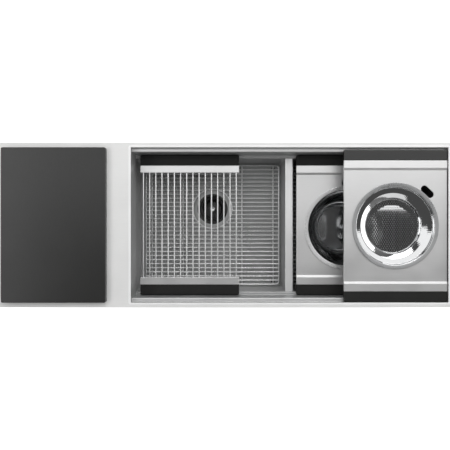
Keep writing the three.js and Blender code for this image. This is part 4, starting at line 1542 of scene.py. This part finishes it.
def add_mixing_bowl(sizes):
    """The mixing bowl: a foot ring, a turn and a bowed wall."""
    bowl = Span("mixing_bowl")
    plate = Span("lower_platform_plate").high - sizes.plate_drop
    neck = neck_radius(sizes)
    foot = bowl.low + sizes.vessel_wall / 2
    foot_radius = 73 * MM
    fillet = 20 * MM
    turn_steps = 10
    wall_angle = math.radians(66)
    line = [(0, foot + 1.2 * MM), (30 * MM, foot + 0.7 * MM), (58 * MM, foot), (foot_radius, foot)]
    for i in range(1, turn_steps + 1):
        turn = wall_angle * i / turn_steps
        line.append((foot_radius + fillet * math.sin(turn), foot + fillet * (1 - math.cos(turn))))
    bulge = 4.5 * MM
    line += bowed(line[-1], (neck, plate - 4 * MM), bulge, steps=14)
    line += rim_line(neck, bowl.length / 2, plate)
    bm = bmesh.new()
    add_vessel(bm, line, bowl, plate, sides=128, closed=False)
    add_shell("mixing_bowl", bm, "polished_steel", "wire_steel", bowl, neck)


def add_colander(sizes):
    """The colander: an upright foot round its floor, a fluted wall, a shoulder and a wired rim."""
    dish = Span("colander")
    plate = Span("upper_platform_plate").high - sizes.plate_drop
    neck = neck_radius(sizes)
    low = dish.low + sizes.vessel_wall / 2
    floor = low + colander_lift(sizes)
    foot_lean = 2.5 * MM
    wall_slope = math.tan(math.radians(32))
    shoulder_slope = math.tan(math.radians(12))
    foot = (sizes.colander_floor + foot_lean, floor + sizes.colander_foot)
    shoulder = foot[1] + (sizes.colander_shoulder - foot[0]) * wall_slope
    line = filleted([
        (sizes.colander_floor - 4 * MM, floor - 0.2 * MM),
        (sizes.colander_floor, floor),
        (*foot, 4 * MM),
        (sizes.colander_shoulder, shoulder, 16 * MM),
        (neck, shoulder + (neck - sizes.colander_shoulder) * shoulder_slope, 3 * MM),
        (neck, plate - 2 * MM),
    ], steps=12, closed=False)
    line += rim_line(neck, dish.length / 2, plate)
    flutes = 128
    fluted_end = neck - 4 * MM

    def fluted(radius, z, turn):
        share = (radius - foot[0]) / (fluted_end - foot[0])
        if z < foot[1] or not 0 < share < 1:
            return radius
        return radius + sizes.flute * math.sin(math.pi * share) * math.cos(flutes * turn)

    bm = bmesh.new()
    add_vessel(bm, line, dish, plate, sides=4 * flutes, closed=True, wave=fluted)
    seam = bead_section(sizes.colander_floor - 1 * MM, floor + 0.9 * MM, 1.1 * MM)
    add_turned(bm, seam, dish.x, dish.y, 96, closed=True)
    add_shell("colander", bm, "mirror_steel", "rim_steel", dish, neck)


def colander_lift(sizes):
    """How far the cone of the colander's floor rises from its flat middle to its edge."""
    cone_slope = math.tan(math.radians(3.1))
    return (sizes.colander_floor - sizes.colander_flat) * cone_slope


def add_colander_floor(sizes):
    """The colander's floor, pierced with rows of small holes."""
    dish = Span("colander")
    pitch = sizes.perforation_pitch
    row_step = pitch * math.sin(math.pi / 3)
    reach = sizes.colander_floor - 7 * MM
    rows = math.floor(reach / row_step)
    points = []
    for row in range(-rows, rows + 1):
        for column in range(-rows - 2, rows + 3):
            x = (column + (row % 2) / 2) * pitch
            y = row * row_step
            if math.hypot(x, y) < reach:
                points.append([(dish.x + x, dish.y + y, 0)])
    name = "colander_floor"
    floor = grown(name, shared_group("Perforated disc"), line_mesh(name, points), sharp=1,
                  Radius=sizes.colander_floor - 2.5 * MM, Hole_Radius=sizes.perforation / 2,
                  Thickness=sizes.vessel_wall, Centre=(dish.x, dish.y, 0), Flat_Radius=sizes.colander_flat,
                  Lift=colander_lift(sizes) - 0.1 * MM, Height=dish.low, Material=finish("mirror_steel"))
    ride(floor, "mirror_steel", "colander")


class SINK_OT_vessels(bpy.types.Operator):
    """The mixing bowl and the colander, turned from thin polished sheet"""

    bl_idname = "sink.vessels"
    bl_label = "Mixing bowl and colander"

    def execute(self, context):
        sizes = context.scene.sink_sizes
        add_mixing_bowl(sizes)
        add_colander(sizes)
        add_colander_floor(sizes)
        return {"FINISHED"}


class SINK_OT_cutting_board(bpy.types.Operator):
    """The composite cutting board on the landing"""

    bl_idname = "sink.cutting_board"
    bl_label = "Cutting board"

    def execute(self, context):
        sizes = context.scene.sink_sizes
        board = Span("cutting_board")
        path = rectangle_path(board.left, board.right, board.front, board.back, sizes.board_corner, steps=8)
        bm = bmesh.new()
        add_plate(bm, [path], board.low, board.high, sizes.board_edge, steps=4)
        add_piece("board", bm, "board_composite", "cutting_board", "cutting_board", flat=True)
        return {"FINISHED"}


# ---- Underside -------------------------------------------------------------------------------------------


class SINK_OT_underside(bpy.types.Operator):
    """The sound pads under the floors and the clips that hold the deck to the worktop"""

    bl_idname = "sink.underside"
    bl_label = "Underside"

    def execute(self, context):
        pad_corner = 12 * MM
        drain_cut = 62 * MM
        for prefix in ("main", "side"):
            pad = Span(prefix + "_sound_pad")
            path = rectangle_path(pad.left, pad.right, pad.front, pad.back, pad_corner)
            hole = as_hole(circle_path(*drain_place(prefix), drain_cut, count=64))
            bm = bmesh.new()
            add_plate(bm, [path, hole], pad.low, pad.high, 1 * MM)
            add_piece(prefix + "_damping_pad", bm, "grey_rubber", "root", prefix + "_sound_pad", flat=True)
        for i in range(1, 7):
            softened(f"mounting_clip_{i}", "zinc_steel", 0.5 * MM)
            softened(f"clip_stud_nut_{i}", "zinc_steel", 0.4 * MM)
        return {"FINISHED"}


# ---- Studio ----------------------------------------------------------------------------------------------


WHITE = (1, 1, 1, 1)


def floor_material():
    """A white floor that shows as a white background and still takes the sink's shadow."""
    floor_colour = (0.86, 0.86, 0.86, 1)
    floor_glow = 0.75
    material, tree, shader, _ = new_material("studio_floor", roughness=0.9)
    shader.inputs["Base Color"].default_value = floor_colour
    path = node(tree, "ShaderNodeLightPath").outputs
    seen = maths(tree, "MAXIMUM", path["Is Camera Ray"], path["Is Glossy Ray"])
    through = maths(tree, "MAXIMUM", seen, path["Is Transmission Ray"])
    shader.inputs["Emission Color"].default_value = WHITE
    tree.links.new(maths(tree, "MULTIPLY", through, floor_glow), shader.inputs["Emission Strength"])
    return material


def chosen_shader(tree, mask, below, above):
    """One shader where a mask is 0 and another where it is 1."""
    mix = node(tree, "ShaderNodeMixShader")
    for socket, source in zip(mix.inputs, (mask, below, above)):
        tree.links.new(source, socket)
    return mix.outputs[0]


def studio_world(ambient):
    """Grey light, a white background for the camera, and for gloss a pale horizon under a dim ceiling."""
    low, high = 0.1, 0.6
    horizon = 0.3
    overhead = 0.09
    world = bpy.data.worlds.new("Studio")
    world.use_nodes = True
    tree = world.node_tree
    tree.nodes.clear()
    path = node(tree, "ShaderNodeLightPath").outputs
    light = node(tree, "ShaderNodeBackground", {"Color": WHITE, "Strength": ambient})
    white = node(tree, "ShaderNodeBackground", {"Color": WHITE, "Strength": 1.0})
    direction = node(tree, "ShaderNodeTexCoord")
    parts = node(tree, "ShaderNodeSeparateXYZ", {"Vector": direction.outputs["Generated"]})
    ceiling = ranged(tree, parts.outputs["Z"], low, high, horizon, overhead, interpolation_type="SMOOTHSTEP")
    gloss = node(tree, "ShaderNodeBackground", {"Color": WHITE, "Strength": ceiling})
    shiny = maths(tree, "MAXIMUM", path["Is Glossy Ray"], path["Is Transmission Ray"])
    unseen = chosen_shader(tree, shiny, light.outputs[0], gloss.outputs[0])
    surface = chosen_shader(tree, path["Is Camera Ray"], unseen, white.outputs[0])
    output = node(tree, "ShaderNodeOutputWorld")
    tree.links.new(surface, output.inputs["Surface"])
    return world


def softbox(name, place, spread, radiance, aim=None):
    """A plain rectangular light, facing down or aimed at a point, that the camera doesn't see."""
    light = bpy.data.lights.new(name, "AREA")
    light.shape = "RECTANGLE"
    light.size, light.size_y = spread
    light.energy = radiance * math.pi * spread[0] * spread[1]
    lamp = link(bpy.data.objects.new(name, light))
    lamp.location = place
    lamp.visible_camera = False
    if aim:
        lamp.rotation_euler = (Vector(aim) - Vector(place)).to_track_quat("-Z", "Y").to_euler()


class SINK_OT_studio(bpy.types.Operator):
    """The floor, the light and the camera of the photograph"""

    bl_idname = "sink.studio"
    bl_label = "Studio"

    def execute(self, context):
        studio = context.scene.sink_studio
        low = Span("main_tailpiece").low - 0.5 * MM
        top = Span("deck_plate").high
        reach = 9.0
        corners = [(-reach, -reach, low), (reach, -reach, low), (reach, reach, low), (-reach, reach, low)]
        bm = bmesh.new()
        bm.faces.new([bm.verts.new(corner) for corner in corners])
        piece_from("studio_floor", bm, floor_material(), recalculate=False)

        scene = context.scene
        scene.view_settings.view_transform = "Standard"
        scene.world = studio_world(studio.ambient)

        overhead_edge = 0.106
        overhead_depth = 1.5
        overhead_y = overhead_edge + overhead_depth / 2
        middle = (0, 0, 0)
        side_bowl = (0.3, 0, 0)
        softbox("overhead", (0.4, overhead_y, 2.0), (3.8, overhead_depth), studio.overhead)
        softbox("left_fill", (-2.1, 0, 2.0), (1.1, 2.0), studio.left_fill)
        softbox("back_key", (0.6, 2.3, 1.6), (3.0, 0.8), studio.back_key, aim=middle)
        softbox("front_key", (0.9, -2.4, 1.4), (3.6, 0.7), studio.front_key, aim=middle)
        softbox("side_fill", (3.0, 0.2, 0.8), (3.0, 1.0), studio.side_fill, aim=side_bowl)

        camera = bpy.data.cameras.new("photograph")
        camera.sensor_width = 36
        camera.lens = camera.sensor_width * studio.camera_height / studio.view_width
        camera.shift_x = -studio.camera_x / studio.view_width
        camera.clip_end = 30
        view = link(bpy.data.objects.new("photograph", camera))
        view.location = (studio.camera_x, 0, top + studio.camera_height)
        scene.camera = view
        return {"FINISHED"}


# ---- Add-on ----------------------------------------------------------------------------------------------


class SINK_PT_panel(bpy.types.Panel):
    """Lists the pieces of the sink in the sidebar"""

    bl_idname = "SINK_PT_panel"
    bl_label = "Workstation Sink"
    bl_space_type = "VIEW_3D"
    bl_region_type = "UI"
    bl_category = "Sink"

    def draw(self, context):
        column = self.layout.column(align=True)
        for operator in OPERATORS:
            column.operator(operator.bl_idname)
        for group in (context.scene.sink_sizes, context.scene.sink_colours, context.scene.sink_studio):
            box = self.layout.box()
            for key in group.bl_rna.properties.keys():
                if key not in ("rna_type", "name"):
                    box.prop(group, key)


OPERATORS = (
    SINK_OT_studio,
    SINK_OT_deck,
    SINK_OT_bowls,
    SINK_OT_bottom_grids,
    SINK_OT_drains,
    SINK_OT_drain_rack,
    SINK_OT_platforms,
    SINK_OT_vessels,
    SINK_OT_cutting_board,
    SINK_OT_underside,
)
GROUPS = (SinkSizes, SinkColours, SinkStudio)
CLASSES = (*GROUPS, *OPERATORS, SINK_PT_panel)


def register():
    for item in CLASSES:
        bpy.utils.register_class(item)
    bpy.types.Scene.sink_sizes = PointerProperty(type=SinkSizes)
    bpy.types.Scene.sink_colours = PointerProperty(type=SinkColours)
    bpy.types.Scene.sink_studio = PointerProperty(type=SinkStudio)


def unregister():
    del bpy.types.Scene.sink_studio
    del bpy.types.Scene.sink_colours
    del bpy.types.Scene.sink_sizes
    for item in reversed(CLASSES):
        bpy.utils.unregister_class(item)


def main():
    register()
    for operator in OPERATORS:
        group, action = operator.bl_idname.split(".")
        getattr(getattr(bpy.ops, group), action)()
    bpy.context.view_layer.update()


if __name__ == "__main__":
    main()
